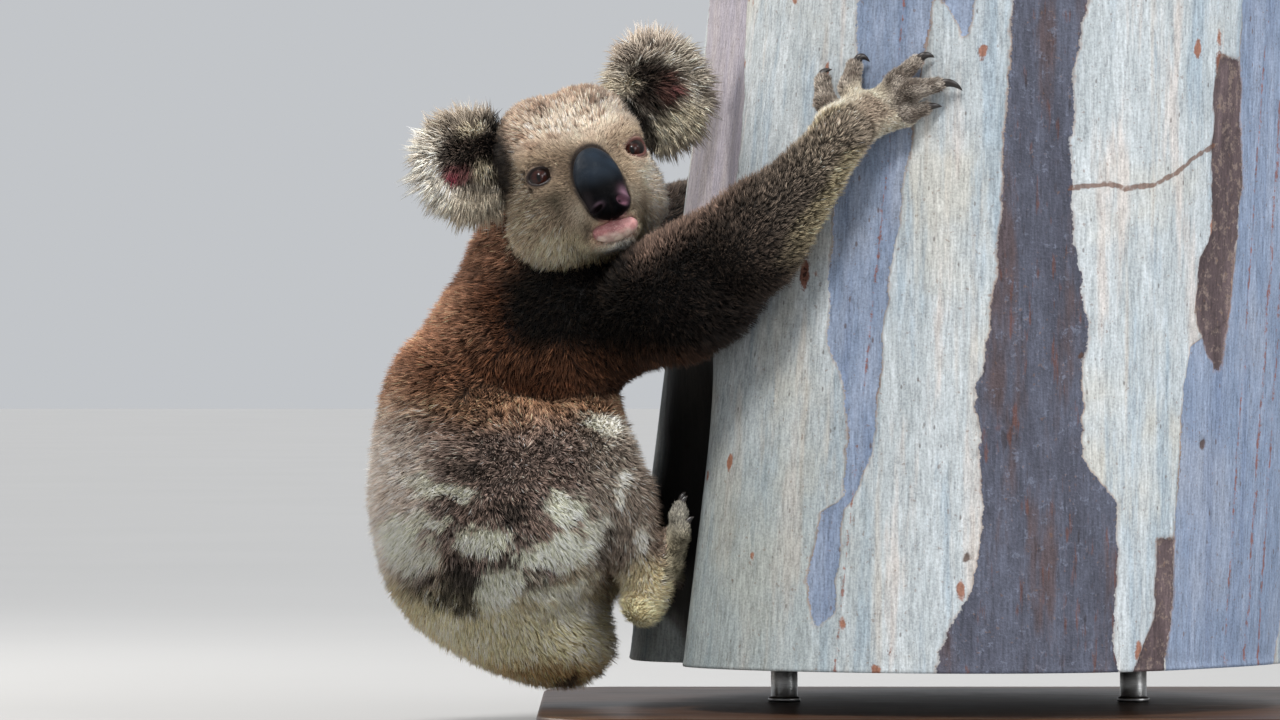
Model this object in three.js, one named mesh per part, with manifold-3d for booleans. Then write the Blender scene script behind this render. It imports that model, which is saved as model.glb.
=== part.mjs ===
// A life-size still model of a koala clinging to a short length of smooth-barked
// gum trunk, carried by a flat base and two rods. Millimetres, +Z up. The origin is
// the centre of the base's underside, and the trunk's axis rises from it.
//
// The animal is described by named round volumes (ellipsoids and tapered limbs) that
// melt into each other. Their common surface is meshed, then parted by thin cuts at
// the neck, waist, shoulders, elbows, wrists, hips, knees and ankles.
import * as THREE from "three";
import { mergeVertices } from "three/addons/utils/BufferGeometryUtils.js";
import Module from "manifold-3d";

// ------------------------------------------------------------------ driving sizes
const GAP = 0.35; // clearance left between neighbouring pieces
const CUT = 0.35; // width of the parting cuts
const BODY_CELL = 23, // mesh cell of the trunk of the body and the limbs
  HAND_CELL = 8.9,
  FOOT_CELL = 10.5;

// display stand
const BASE_LENGTH = 720,
  BASE_WIDTH = 580,
  BASE_THICK = 24,
  BASE_CORNER = 70,
  BASE_CHAMFER = 3;
const ROD_RADIUS = 14,
  ROD_SPREAD = 150;

// perch: a fluted length of trunk, leaning a little towards +X
const TRUNK_BOTTOM = 61,
  TRUNK_TOP = 631,
  TRUNK_RADIUS_LOW = 286,
  TRUNK_RADIUS_HIGH = 269,
  TRUNK_LEAN = 0.092,
  TRUNK_AROUND = 52,
  TRUNK_RINGS = 4;
const GROOVE = { at: 202.5, depth: 30, base: 10, back: 7.0, front: 4.6 }; // degrees round the trunk

// body frame: F forwards to the belly, R to the animal's right, Z up
const BODY_YAW = 10;
const BODY_AT = [-376, -68, 0];
// head frame: A to the animal's left, U up through the crown, C out of the face
const HEAD_ROLL = 17,
  HEAD_YAW = 13,
  HEAD_PITCH = 5;
const HEAD_AT = [-317.4, -172, 483.4]; // between the eyes

// ------------------------------------------------------------------ small vector kit
const rad = (d) => (d * Math.PI) / 180;
const V = (a) => new THREE.Vector3(...a);
const F = [Math.cos(rad(BODY_YAW)), Math.sin(rad(BODY_YAW)), 0];
const R = [Math.sin(rad(BODY_YAW)), -Math.cos(rad(BODY_YAW)), 0];
const body = (f, r, z) => [
  BODY_AT[0] + F[0] * f + R[0] * r,
  BODY_AT[1] + F[1] * f + R[1] * r,
  z,
];
function headFrame() {
  const a = V([Math.cos(rad(HEAD_ROLL)), 0, Math.sin(rad(HEAD_ROLL))]);
  const u = V([-Math.sin(rad(HEAD_ROLL)), 0, Math.cos(rad(HEAD_ROLL))]);
  const c = V([0, -1, 0]);
  const y = rad(HEAD_YAW),
    p = rad(HEAD_PITCH);
  const c2 = c.clone().multiplyScalar(Math.cos(y)).addScaledVector(a, Math.sin(y));
  const a2 = a.clone().multiplyScalar(Math.cos(y)).addScaledVector(c, -Math.sin(y));
  const c3 = c2.clone().multiplyScalar(Math.cos(p)).addScaledVector(u, Math.sin(p));
  const u3 = u.clone().multiplyScalar(Math.cos(p)).addScaledVector(c2, -Math.sin(p));
  return [a2, u3, c3];
}
const [HA, HU, HC] = headFrame();
const head = (a, u, c) =>
  V(HEAD_AT).addScaledVector(HA, a).addScaledVector(HU, u).addScaledVector(HC, c).toArray();
const spine = (deg) => [Math.sin(rad(deg)), 0, -Math.cos(rad(deg))]; // down the back, tilted to +X

// ------------------------------------------------------------------ the trunk's outline
function trunkRadius(th, z) {
  const h = (z - TRUNK_BOTTOM) / (TRUNK_TOP - TRUNK_BOTTOM);
  const round = TRUNK_RADIUS_LOW + (TRUNK_RADIUS_HIGH - TRUNK_RADIUS_LOW) * h;
  const w = ((((th * 180) / Math.PI) % 360) + 360) % 360;
  let f = Math.min(Math.max((360 - z) / 130, 0), 1);
  f = f * f * (3 - 2 * f);
  const bell = (at, wide) => Math.exp(-0.5 * ((w - at) / wide) ** 2);
  const flute =
    (GROOVE.base + GROOVE.depth * f) * bell(GROOVE.at, w < GROOVE.at ? GROOVE.back : GROOVE.front) +
    6 * bell(318, 11) + 8 * bell(75, 12) + 6 * bell(140, 9);
  const swell = 4 * bell(225, 9) * f + 3 * Math.sin(rad(w * 3 + 20)) + 1.5 * Math.sin(rad(w * 5 + 80));
  return round - flute + swell;
}
function onTrunk(th, z, out) {
  const r = trunkRadius(th, z) + out;
  return [TRUNK_LEAN * (z - TRUNK_BOTTOM) + r * Math.cos(th), r * Math.sin(th), z];
}

// ------------------------------------------------------------------ named volumes
const ball = (name, at, size, e1, e2, melt) => {
  const x = V(e1).normalize();
  const y = V(e2).addScaledVector(x, -x.dot(V(e2))).normalize();
  return { name, at: V(at), size, x, y, z: x.clone().cross(y), melt };
};
const limb = (name, from, to, r1, r2, melt) => ({ name, from: V(from), to: V(to), r1, r2, melt });

const upper = [
  ball("thorax", body(22.6, 0, 363.4), [108, 102, 78.7], spine(-31.2), R, 20),
  ball("loin", body(-25, 0, 327.6), [57.8, 96, 59], spine(-25), R, 30),
  ball("belly", body(32.7, 0, 335), [76, 102, 65], spine(-5.7), R, 30),
  limb("neck", body(24.1, 0, 401.4), head(0, -12, -62), 66, 58, 30),
];
const lower = [
  ball("waist", body(-51.5, 0, 273.9), [81.7, 92, 70.2], spine(0), R, 30),
  ball("pelvis", body(-26.7, 0, 208.7), [103.7, 110, 106], spine(0), R, 30),
  ball("rump", body(-13.6, 0, 162.9), [96.3, 108, 108.1], spine(26.6), R, 30),
  ball("seat", body(11.1, 0, 95.7), [79.6, 80, 54.7], spine(64.5), R, 30),
  ball("underbelly", body(44, 0, 266), [48, 97, 46], spine(0), R, 26),
];
const toes = [],
  arms = [],
  digits = [],
  claws = [];
// legs, folded under the belly, soles against the bark. On the animal's left the
// trunk stands nearer, so the foot is set back by FAR_FOOT.
const FAR_FOOT = [-14, 4, 0];
const TOES = [
  // joints (forwards, out to the side, up), radii, claw tip
  { at: [[113.5, 86, 144.7], [120, 80.5, 136], [123.5, 75.5, 131]], r: [9, 8, 6.5] },
  { at: [[118.1, 92, 165.1], [120.1, 90, 183.5], [122, 89, 194.4]], r: [8, 6.5, 5.2], claw: [125.3, 90, 202.8] },
  { at: [[117.6, 99, 167], [119.2, 100, 188.8], [120.2, 99, 197.2]], r: [8, 6.5, 5.2], claw: [125.5, 98, 207.2] },
  { at: [[116.4, 106, 168.8], [117.3, 110, 187.3], [118.2, 110, 194.9]], r: [8.5, 8, 6.6], claw: [125, 110, 204.1] },
  { at: [[115.6, 110, 162.2], [117.8, 117, 172.4], [120, 119, 178.3]], r: [8.5, 8, 6.4], claw: [128.3, 120, 186.7] },
];
for (const [side, s] of [["r", 1], ["l", -1]]) {
  const leg = (f, r, z, set = 0) =>
    V(body(f, s * r, z)).addScaledVector(V(FAR_FOOT), s < 0 ? set : 0).toArray();
  lower.push(
    limb("thigh_" + side, leg(-14.3, 70.2, 189.9), leg(54.4, 91.3, 237.6), 85.2, 34.4, 40),
    limb("shank_" + side, leg(74.5, 93, 202.7), leg(94.1, 87, 124.3, 0.7), 31.4, 24.4, 26),
    limb("foot_" + side, leg(90, 91.5, 111, 1), leg(108, 97, 148.5, 1), 19, 13.5, 14),
    limb("sole_" + side, leg(110.5, 96, 148.5, 1), leg(117.3, 96, 166.9, 1), 15, 13, 10),
  );
  TOES.forEach(({ at, r, claw }, i) => {
    const p = at.map((q) => leg(...q, 1));
    toes.push(
      limb("toe_" + side + (i + 1), p[0], p[1], r[0], r[1], 6),
      limb("toe_tip_" + side + (i + 1), p[1], p[2], r[1], r[2], 6),
    );
    if (claw) {
      const root = V(p[2]),
        tip = V(leg(...claw, 1)),
        d = tip.clone().sub(root);
      claws.push({
        name: "claw_foot_" + side + (i + 1),
        path: [
          root.clone().addScaledVector(d, 0.1),
          root.clone().addScaledVector(d, 0.62).add(V([-1.5, 0, 2])),
          tip,
        ],
        r: 3,
      });
    }
  });
}
// arms: the right one reaches across the near side of the trunk, the left one round the far side
const HAND_AT = { r: [rad(242.34), 522.7], l: [rad(122), 512] };
const onBark = (side, s, t, out) =>
  onTrunk(HAND_AT[side][0] + ((side === "r" ? 1 : -1) * s) / 262, HAND_AT[side][1] + t, out);
arms.push(
  limb("shoulder_r", [-313, -118, 340], [-218.1, -205, 379], 50, 52, 40),
  limb("upperarm_r", [-246, -195, 370.8], [-177, -238, 433.9], 52.3, 33.9, 30),
  limb("forearm_r", [-177.5, -240, 414.4], [-108.5, -270, 501.5], 44.4, 25, 24),
  limb("shoulder_l", [-337, 0, 358.5], [-294, 98, 412], 61, 50, 40),
  limb("forearm_l", [-293, 102, 413], onBark("l", -4.5, -20.5, 26), 48, 21, 24),
);
// digits on the bark: (round the trunk, up, out from the bark); two oppose the other three
const DIGITS = [
  { at: [[-16, -2, 15], [-34, 8.5, 13], [-41.5, 26, 8]], r: [10, 9.3, 8.2], claw: [[-46, 35.5, 8], [-38, 36, 2]] },
  { at: [[-5, 4, 15], [-13, 20, 15], [-13, 37, 10]], r: [10, 9.2, 8.4], claw: [[-9, 50.5, 10], [-4, 41.5, 2]] },
  { at: [[9, 6, 15], [25, 25, 14], [37.5, 40, 9]], r: [9.5, 8.8, 7.4], claw: [[45, 49, 9], [50.5, 44, 2]] },
  { at: [[16, 2.5, 15], [40, 17, 16], [57.5, 21.5, 10]], r: [10, 9.2, 7.4], claw: [[69, 25, 10], [75.5, 16.5, 2]] },
  { at: [[14, -4, 14], [35, -3, 12], [48.5, 2, 8]], r: [9, 8.5, 7], claw: [[55, 5, 8], [60.5, 3.5, 2]] },
];
for (const side of ["r", "l"]) {
  const b = (q) => onBark(side, ...q);
  arms.push(
    limb("wrist_" + side, b([-11, -16, 23]), b([4, -3, 15]), 24, 18, 14),
    limb("outer_palm_" + side, b([4, -3, 15]), b([32, -5, 10]), 17, 9.5, 12),
    limb("palm_" + side, b([-4, -0.5, 14]), b([16, -0.5, 14]), 14, 13, 12),
  );
  DIGITS.forEach(({ at, r, claw }, i) => {
    const p = at.map(b);
    digits.push(
      limb("digit_" + side + (i + 1), p[0], p[1], r[0], r[1], 6),
      limb("digit_tip_" + side + (i + 1), p[1], p[2], r[1], r[2], 6),
    );
    const root = V(p[2]),
      bend = V(b(claw[0]));
    claws.push({
      name: "claw_hand_" + side + (i + 1),
      path: [root.clone().lerp(bend, 0.2), bend, V(b(claw[1]))],
      r: 3.9,
    });
  });
}
const headVolumes = [
  ball("occiput", head(0, 0, -84), [50, 50, 44], HA.toArray(), HU.toArray(), 20),
  ball("bridge", head(0, -6, 0), [20, 30, 24], HA.toArray(), HU.toArray(), 18),
];
for (const s of [-1, 1]) {
  const pair = (name, a, u, c, size, melt) =>
    headVolumes.push(ball(name, head(a, u, c), size, HA.toArray(), HU.toArray(), melt));
  pair("crown", s * 20, 16, -60, [47, 59, 60], 16);
  pair("cheek", s * 37, -34, -36, [30, 36, 40], 22);
  pair("ruff", s * 16 - 13, -40, -50, [46, 44, 42], 22);
  pair("brow", s * 26, 18, -14, [27, 15, 17], 20);
  pair("midface", s * 25, -24, -15, [25, 30, 24], 20);
}
headVolumes.push(
  ball("muzzle", head(0, -40, 2), [32, 24, 30], HA.toArray(), HU.toArray(), 20),
  ball("chin", head(0, -64, -2), [26, 14, 24], HA.toArray(), HU.toArray(), 14),
);
const noseVolumes = [
  ball("nose_top", head(-1.5, -14, 18), [18, 23, 16], HA.toArray(), HU.toArray(), 6),
  ball("nose_middle", head(-1, -27, 24), [19, 22, 15], HA.toArray(), HU.toArray(), 10),
  ball("nose_tip", head(0, -42, 27), [16.5, 13, 13], HA.toArray(), HU.toArray(), 8),
];
const EYE = { a: 41.5, u: 0, c: -9.5, r: 10.5 };
const EARS = [
  { name: "ear_r", at: [-84, 32, -61], wide: 61, high: 54, turn: -17 },
  { name: "ear_l", at: [92.9, 46.5, -63.7], wide: 50, high: 58.5, turn: 11 },
];

// ------------------------------------------------------------------ the field
const q = new THREE.Vector3();
function distanceTo(v, p) {
  if (v.size) {
    q.copy(p).sub(v.at);
    const x = q.dot(v.x), y = q.dot(v.y), z = q.dot(v.z), [a, b, c] = v.size;
    const k0 = Math.hypot(x / a, y / b, z / c);
    const k1 = Math.hypot(x / (a * a), y / (b * b), z / (c * c));
    return (k0 * (k0 - 1)) / Math.max(k1, 1e-9);
  }
  const ba = q.copy(v.to).sub(v.from).clone();
  const l2 = ba.lengthSq(), rr = v.r1 - v.r2, a2 = l2 - rr * rr, il2 = 1 / l2;
  const pa = p.clone().sub(v.from);
  const y = pa.dot(ba), z = y - l2;
  const x2 = pa.clone().multiplyScalar(l2).addScaledVector(ba, -y).lengthSq();
  const y2 = y * y * l2, z2 = z * z * l2, k = Math.sign(rr) * rr * rr * x2;
  if (Math.sign(z) * a2 * z2 > k) return Math.sqrt(x2 + z2) * il2 - v.r2;
  if (Math.sign(y) * a2 * y2 < k) return Math.sqrt(x2 + y2) * il2 - v.r1;
  return (Math.sqrt(x2 * a2 * il2) + y * rr) * il2 - v.r1;
}
function melt(a, b, k) {
  if (k <= 0) return Math.min(a, b);
  const h = Math.max(k - Math.abs(a - b), 0) / k;
  return Math.min(a, b) - h * h * k * 0.25;
}
const fieldOf = (volumes) => (p) => {
  let d = Infinity;
  for (const v of volumes) {
    const e = distanceTo(v, p);
    d = d === Infinity ? e : melt(d, e, v.melt);
  }
  return d;
};
const together = (parts) => {
  const fields = parts.map(([volumes, k]) => [fieldOf(volumes), k]);
  return (p) => fields.reduce((d, [f, k]) => (d === Infinity ? f(p) : melt(d, f(p), k)), Infinity);
};
const WAIST_MELT = 16,
  ARM_MELT = 30;
const bodyField = together([[upper, 0], [lower, WAIST_MELT], [arms, ARM_MELT]]);
const handField = together([[[...arms, ...digits], 0]]);
const footField = together([[[...lower, ...toes], 0]]);
const headField = fieldOf(headVolumes);

function gradient(f, p, e = 0.6) {
  const g = new THREE.Vector3();
  for (const axis of ["x", "y", "z"]) {
    const a = p.clone(), b = p.clone();
    a[axis] += e;
    b[axis] -= e;
    g[axis] = f(a) - f(b);
  }
  return g.normalize();
}

// A closed mesh of a field's zero surface: one vertex in each cell it passes, drawn onto the surface.
function meshOf(field, box, cell) {
  const lo = box.min, n = ["x", "y", "z"].map((a) => Math.ceil((box.max[a] - lo[a]) / cell) + 1);
  const id = (i, j, k) => (k * n[1] + j) * n[0] + i;
  const d = new Float64Array(n[0] * n[1] * n[2]);
  const p = new THREE.Vector3();
  for (let k = 0; k < n[2]; k++)
    for (let j = 0; j < n[1]; j++)
      for (let i = 0; i < n[0]; i++) {
        p.set(lo.x + i * cell, lo.y + j * cell, lo.z + k * cell);
        const edge = i * j * k === 0 || i === n[0] - 1 || j === n[1] - 1 || k === n[2] - 1;
        d[id(i, j, k)] = edge ? Math.max(field(p), 0.5) : field(p) || 1e-6;
      }
  const vertexAt = new Int32Array(d.length).fill(-1), verts = [];
  // corners that only touch across a cell's face or body are joined, so the surface never pinches
  const faces = [[0, 1, 3, 2], [4, 5, 7, 6], [0, 1, 5, 4], [2, 3, 7, 6], [0, 2, 6, 4], [1, 3, 7, 5]];
  for (let pass = 0, again = true; again && pass < 12; pass++) {
    again = false;
    for (let k = 0; k < n[2] - 1; k++)
      for (let j = 0; j < n[1] - 1; j++)
        for (let i = 0; i < n[0] - 1; i++) {
          const at = [0, 1, 2, 3, 4, 5, 6, 7].map((c) => id(i + (c & 1), j + ((c >> 1) & 1), k + (c >> 2)));
          const s = at.map((x) => d[x] < 0);
          const pinch = faces.find(([a, b, c, e]) => s[a] === s[c] && s[b] === s[e] && s[a] !== s[b]);
          const lone = !pinch && s.filter(Boolean).length === 2 && [0, 1, 2, 3].some((c) => s[c] && s[7 - c]);
          if (!pinch && !lone) continue;
          const outer = (pinch || [0, 1, 2, 3, 4, 5, 6, 7]).filter((c) => !s[c]).sort((a, b) => d[at[a]] - d[at[b]])[0];
          d[at[outer]] = -0.08 * cell;
          again = true;
        }
  }
  const corner = [0, 1, 2, 3, 4, 5, 6, 7].map((c) => [c & 1, (c >> 1) & 1, c >> 2]);
  for (let k = 0; k < n[2] - 1; k++)
    for (let j = 0; j < n[1] - 1; j++)
      for (let i = 0; i < n[0] - 1; i++) {
        const c = corner.map(([a, b, e]) => d[id(i + a, j + b, k + e)]);
        const inside = c.filter((x) => x < 0).length;
        if (inside === 0 || inside === 8) continue;
        const sum = new THREE.Vector3();
        let m = 0;
        for (let a = 0; a < 8; a++)
          for (const bit of [1, 2, 4]) {
            const b = a | bit;
            if (b === a || c[a] < 0 === c[b] < 0) continue;
            const t = c[a] / (c[a] - c[b]);
            sum.x += corner[a][0] + (corner[b][0] - corner[a][0]) * t;
            sum.y += corner[a][1] + (corner[b][1] - corner[a][1]) * t;
            sum.z += corner[a][2] + (corner[b][2] - corner[a][2]) * t;
            m++;
          }
        sum.divideScalar(m);
        const v = new THREE.Vector3(lo.x + (i + sum.x) * cell, lo.y + (j + sum.y) * cell, lo.z + (k + sum.z) * cell);
        for (let s = 0; s < 2; s++) {
          const g = gradient(field, v), move = Math.max(-0.4 * cell, Math.min(0.4 * cell, field(v)));
          v.addScaledVector(g, -move);
        }
        vertexAt[id(i, j, k)] = verts.length;
        verts.push(v);
      }
  const index = [];
  const step = [[1, 0, 0], [0, 1, 0], [0, 0, 1]];
  for (let k = 0; k < n[2]; k++)
    for (let j = 0; j < n[1]; j++)
      for (let i = 0; i < n[0]; i++)
        for (let a = 0; a < 3; a++) {
          const s = step[a], at = [i, j, k];
          if (at[a] + 1 >= n[a]) continue;
          const d0 = d[id(i, j, k)], d1 = d[id(i + s[0], j + s[1], k + s[2])];
          if (d0 < 0 === d1 < 0) continue;
          const u = step[(a + 1) % 3], w = step[(a + 2) % 3];
          const cellAt = (x, y) => vertexAt[id(i - u[0] * x - w[0] * y, j - u[1] * x - w[1] * y, k - u[2] * x - w[2] * y)];
          let quad = [cellAt(1, 1), cellAt(0, 1), cellAt(0, 0), cellAt(1, 0)];
          if (d0 >= 0) quad = quad.reverse();
          const [A, B, C, D] = quad;
          // split along the shorter diagonal
          if (verts[A].distanceTo(verts[C]) < verts[B].distanceTo(verts[D])) index.push(A, B, C, A, C, D);
          else index.push(A, B, D, B, C, D);
        }
  const g = new THREE.BufferGeometry();
  g.setAttribute("position", new THREE.Float32BufferAttribute(verts.flatMap((v) => v.toArray()), 3));
  g.setIndex(index);
  return g;
}
// A closed mesh of a field seen from a point inside it, on the faces of a geodesic ball.
function starOf(field, centre, detail, reach) {
  const g = mergeVertices(bare(new THREE.IcosahedronGeometry(1, detail)));
  const pos = g.attributes.position, c = V(centre), dir = new THREE.Vector3(), p = new THREE.Vector3();
  for (let i = 0; i < pos.count; i++) {
    dir.fromBufferAttribute(pos, i).normalize();
    let a = 0, b = reach;
    for (let s = 0; s < 40; s++) {
      const m = (a + b) / 2;
      if (field(p.copy(c).addScaledVector(dir, m)) < 0) a = m;
      else b = m;
    }
    p.copy(c).addScaledVector(dir, a);
    pos.setXYZ(i, p.x, p.y, p.z);
  }
  return g;
}
function bare(geometry) {
  const g = geometry.clone();
  for (const name of Object.keys(g.attributes)) if (name !== "position") g.deleteAttribute(name);
  return g;
}

// ------------------------------------------------------------------ solids
const wasm = await Module();
wasm.setup();
function solid(geometry) {
  const g = mergeVertices(bare(geometry), 1e-3);
  return new wasm.Manifold(
    new wasm.Mesh({ numProp: 3, vertProperties: g.attributes.position.array, triVerts: new Uint32Array(g.index.array) }),
  );
}
function geometryOf(s) {
  const m = s.getMesh(), n = m.numProp, pos = new Float32Array(m.numVert * 3);
  for (let i = 0; i < m.numVert; i++) pos.set(m.vertProperties.subarray(i * n, i * n + 3), i * 3);
  // edges too short to matter are closed up
  const root = Array.from({ length: m.numVert }, (_, i) => i);
  const find = (i) => (root[i] === i ? i : (root[i] = find(root[i])));
  const t = m.triVerts, tiny = 0.03 * 0.03;
  for (let i = 0; i < t.length; i += 3)
    for (let e = 0; e < 3; e++) {
      const a = t[i + e], b = t[i + ((e + 1) % 3)];
      const d = (pos[3 * a] - pos[3 * b]) ** 2 + (pos[3 * a + 1] - pos[3 * b + 1]) ** 2 + (pos[3 * a + 2] - pos[3 * b + 2]) ** 2;
      if (d < tiny) root[find(a)] = find(b);
    }
  const index = [];
  for (let i = 0; i < t.length; i += 3) {
    const [a, b, c] = [find(t[i]), find(t[i + 1]), find(t[i + 2])];
    if (a !== b && b !== c && c !== a) index.push(a, b, c);
  }
  const g = new THREE.BufferGeometry();
  g.setAttribute("position", new THREE.BufferAttribute(pos, 3));
  g.setIndex(index);
  g.computeVertexNormals();
  return g;
}
// the same mesh with every vertex moved out along its normal
function fatter(geometry, by) {
  const g = mergeVertices(bare(geometry), 1e-3);
  g.computeVertexNormals();
  const p = g.attributes.position, nn = g.attributes.normal;
  for (let i = 0; i < p.count; i++)
    p.setXYZ(i, p.getX(i) + nn.getX(i) * by, p.getY(i) + nn.getY(i) * by, p.getZ(i) + nn.getZ(i) * by);
  return g;
}
const largest = (s) => s.decompose().sort((a, b) => b.volume() - a.volume())[0];
function blade(at, normal, across, w, h, thick = CUT) {
  // a thin plate through a point, square to a direction; across sets which way its width runs
  const nrm = V(normal).normalize();
  const x = V(across).addScaledVector(nrm, -nrm.dot(V(across))).normalize();
  const y = nrm.clone().cross(x);
  const g = new THREE.BoxGeometry(w, h, thick);
  g.applyMatrix4(new THREE.Matrix4().makeBasis(x, y, nrm).setPosition(...at));
  return solid(g);
}
function collar(at, normal, radius, height) {
  // a thin-walled cup: its floor crosses the neck and its wall frees what stands in it
  const wall = [[0, 0], [radius, 0], [radius, height], [radius - CUT, height], [radius - CUT, CUT], [0, CUT]];
  const g = new THREE.LatheGeometry(wall.map(([x, y]) => new THREE.Vector2(x, y)), 20);
  const up = V(normal).normalize();
  const turn = new THREE.Quaternion().setFromUnitVectors(V([0, 1, 0]), up);
  return solid(g.applyQuaternion(turn).translate(...at));
}
function holding(pieces, seed) {
  const probe = solid(new THREE.OctahedronGeometry(1.5).translate(...seed));
  const found = pieces.find((s) => s.intersect(probe).volume() > 0.5);
  if (!found) throw new Error("no piece holds " + seed);
  return found;
}
const boxAround = (points, margin) => {
  const b = new THREE.Box3();
  points.forEach((p) => b.expandByPoint(V(p)));
  return b.expandByScalar(margin);
};

// perch and stand
function trunkGeometry(out) {
  const g = new THREE.CylinderGeometry(1, 1, 1, TRUNK_AROUND, TRUNK_RINGS).rotateX(Math.PI / 2);
  const merged = mergeVertices(bare(g), 1e-4), p = merged.attributes.position;
  for (let i = 0; i < p.count; i++) {
    const x = p.getX(i), y = p.getY(i);
    const z = TRUNK_BOTTOM + (p.getZ(i) + 0.5) * (TRUNK_TOP - TRUNK_BOTTOM);
    const high = z + (p.getZ(i) > 0.49 ? out : p.getZ(i) < -0.49 ? -out : 0);
    if (Math.hypot(x, y) < 1e-6) p.setXYZ(i, TRUNK_LEAN * (z - TRUNK_BOTTOM), 0, high);
    else {
      const [X, Y] = onTrunk(Math.atan2(y, x), z, out);
      p.setXYZ(i, X, Y, high);
    }
  }
  return merged;
}
const trunk = solid(trunkGeometry(0)),
  trunkFat = solid(trunkGeometry(GAP));

function baseGeometry() {
  const w = BASE_LENGTH / 2 - BASE_CHAMFER, h = BASE_WIDTH / 2 - BASE_CHAMFER, r = BASE_CORNER;
  const s = new THREE.Shape();
  s.moveTo(-w + r, -h);
  s.lineTo(w - r, -h);
  s.absarc(w - r, -h + r, r, -Math.PI / 2, 0);
  s.lineTo(w, h - r);
  s.absarc(w - r, h - r, r, 0, Math.PI / 2);
  s.lineTo(-w + r, h);
  s.absarc(-w + r, h - r, r, Math.PI / 2, Math.PI);
  s.lineTo(-w, -h + r);
  s.absarc(-w + r, -h + r, r, Math.PI, 1.5 * Math.PI);
  return new THREE.ExtrudeGeometry(s, {
    depth: BASE_THICK - 2 * BASE_CHAMFER, curveSegments: 4, bevelEnabled: true,
    bevelThickness: BASE_CHAMFER, bevelSize: BASE_CHAMFER, bevelSegments: 1,
  }).translate(0, 0, BASE_CHAMFER);
}
const rodLength = TRUNK_BOTTOM - BASE_THICK - 2 * GAP;
const rod = (x) =>
  new THREE.CylinderGeometry(ROD_RADIUS, ROD_RADIUS, rodLength, 16)
    .rotateX(Math.PI / 2)
    .translate(x, 0, BASE_THICK + GAP + rodLength / 2);

// head: a geodesic ball drawn onto the head's field, with sockets for the eyes and the nose pad
const headGeometry = starOf(headField, head(0, -8, -48), 4, 160);
const eyeGeometry = (s, r) => new THREE.IcosahedronGeometry(r, 1).translate(...head(s * EYE.a, EYE.u, EYE.c));
const noseGeometry = starOf(fieldOf(noseVolumes), head(0, -28, 20), 2, 60);
const lipGeometry = (by) =>
  new THREE.IcosahedronGeometry(1, 2)
    .scale(19 + by, 9 + by, 11 + by)
    .applyMatrix4(new THREE.Matrix4().makeBasis(HA, HU, HC).setPosition(...head(1, -61.5, 15)));
let headSolid = solid(headGeometry);
for (const s of [-1, 1]) headSolid = headSolid.subtract(solid(eyeGeometry(s, EYE.r + GAP)));
headSolid = headSolid.subtract(solid(fatter(noseGeometry, GAP))).subtract(solid(lipGeometry(GAP)));
headSolid = largest(headSolid);
const headFat = solid(fatter(headGeometry, GAP + 0.15));
const noseFat = solid(fatter(noseGeometry, GAP));

// ears: cupped discs, open towards the face, trimmed to the head
function earGeometry({ at, wide, high, turn }) {
  const rim = [
    [0, -0.95], [0.45, -0.86], [0.78, -0.6], [0.95, -0.25], [1, 0.1], [0.93, 0.42],
    [0.78, 0.5], [0.55, 0.18], [0.28, -0.1], [0, -0.2],
  ].map(([r, d]) => new THREE.Vector2(r, d));
  const g = new THREE.LatheGeometry(rim, 14).rotateX(Math.PI / 2);
  const x = HA.clone().applyAxisAngle(HU, rad(-turn)), z = HC.clone().applyAxisAngle(HU, rad(-turn));
  g.scale(wide, high, 17);
  return g.applyMatrix4(new THREE.Matrix4().makeBasis(x, HU, z).setPosition(...head(...at)));
}

// body: one surface, parted at the joints
const reachOf = (v) => (v.size ? Math.max(...v.size) : Math.max(v.r1, v.r2));
const endsOf = (v) => (v.size ? [v.at.toArray()] : [v.from.toArray(), v.to.toArray()]);
const all = [...upper, ...lower, ...arms];
const whole = new THREE.Box3();
all.forEach((v) => endsOf(v).forEach((e) => whole.union(boxAround([e], reachOf(v) + 6))));
let flesh = solid(meshOf(bodyField, whole, BODY_CELL)).subtract(headFat).subtract(trunkFat);
for (const e of EARS) flesh = flesh.subtract(solid(fatter(earGeometry(e), GAP)));

const armDir = { r: [0.662, -0.614, 0.43], l: [0.36, 0.8, 0.48] };
const elbowDir = { r: [0.64, -0.42, 0.64], l: [0.66, 0.6, 0.45] };
const wristDir = { r: [0.58, -0.28, 0.77], l: [0.72, 0.6, 0.36] };
const shoulderAt = { r: [-262, -163, 371], l: [-318, 40, 381] };
const elbowAt = { r: [-177, -239, 424], l: [-292, 103, 415] };
const wristAt = { r: [-107, -268, 503], l: [-143, 233, 482] };
const cuts = [
  blade(body(20, 0, 290.5), [0, 0, 1], F, 400, 262), // waist
  collar([-347, -80, 407], [0.19, -0.5, 0.85], 86, 190), // root of the neck
];
for (const [side, s] of [["r", 1], ["l", -1]]) {
  cuts.push(
    blade(shoulderAt[side], armDir[side], [0, 0, 1], 190, 170),
    blade(elbowAt[side], elbowDir[side], [0, 0, 1], 150, 130),
    blade(wristAt[side], wristDir[side], [0, 0, 1], 90, 90),
    blade(body(0, s * 66, 166), R, F, 300, 249.5), // hip
  );
}
for (const c of cuts) flesh = flesh.subtract(c);
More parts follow.
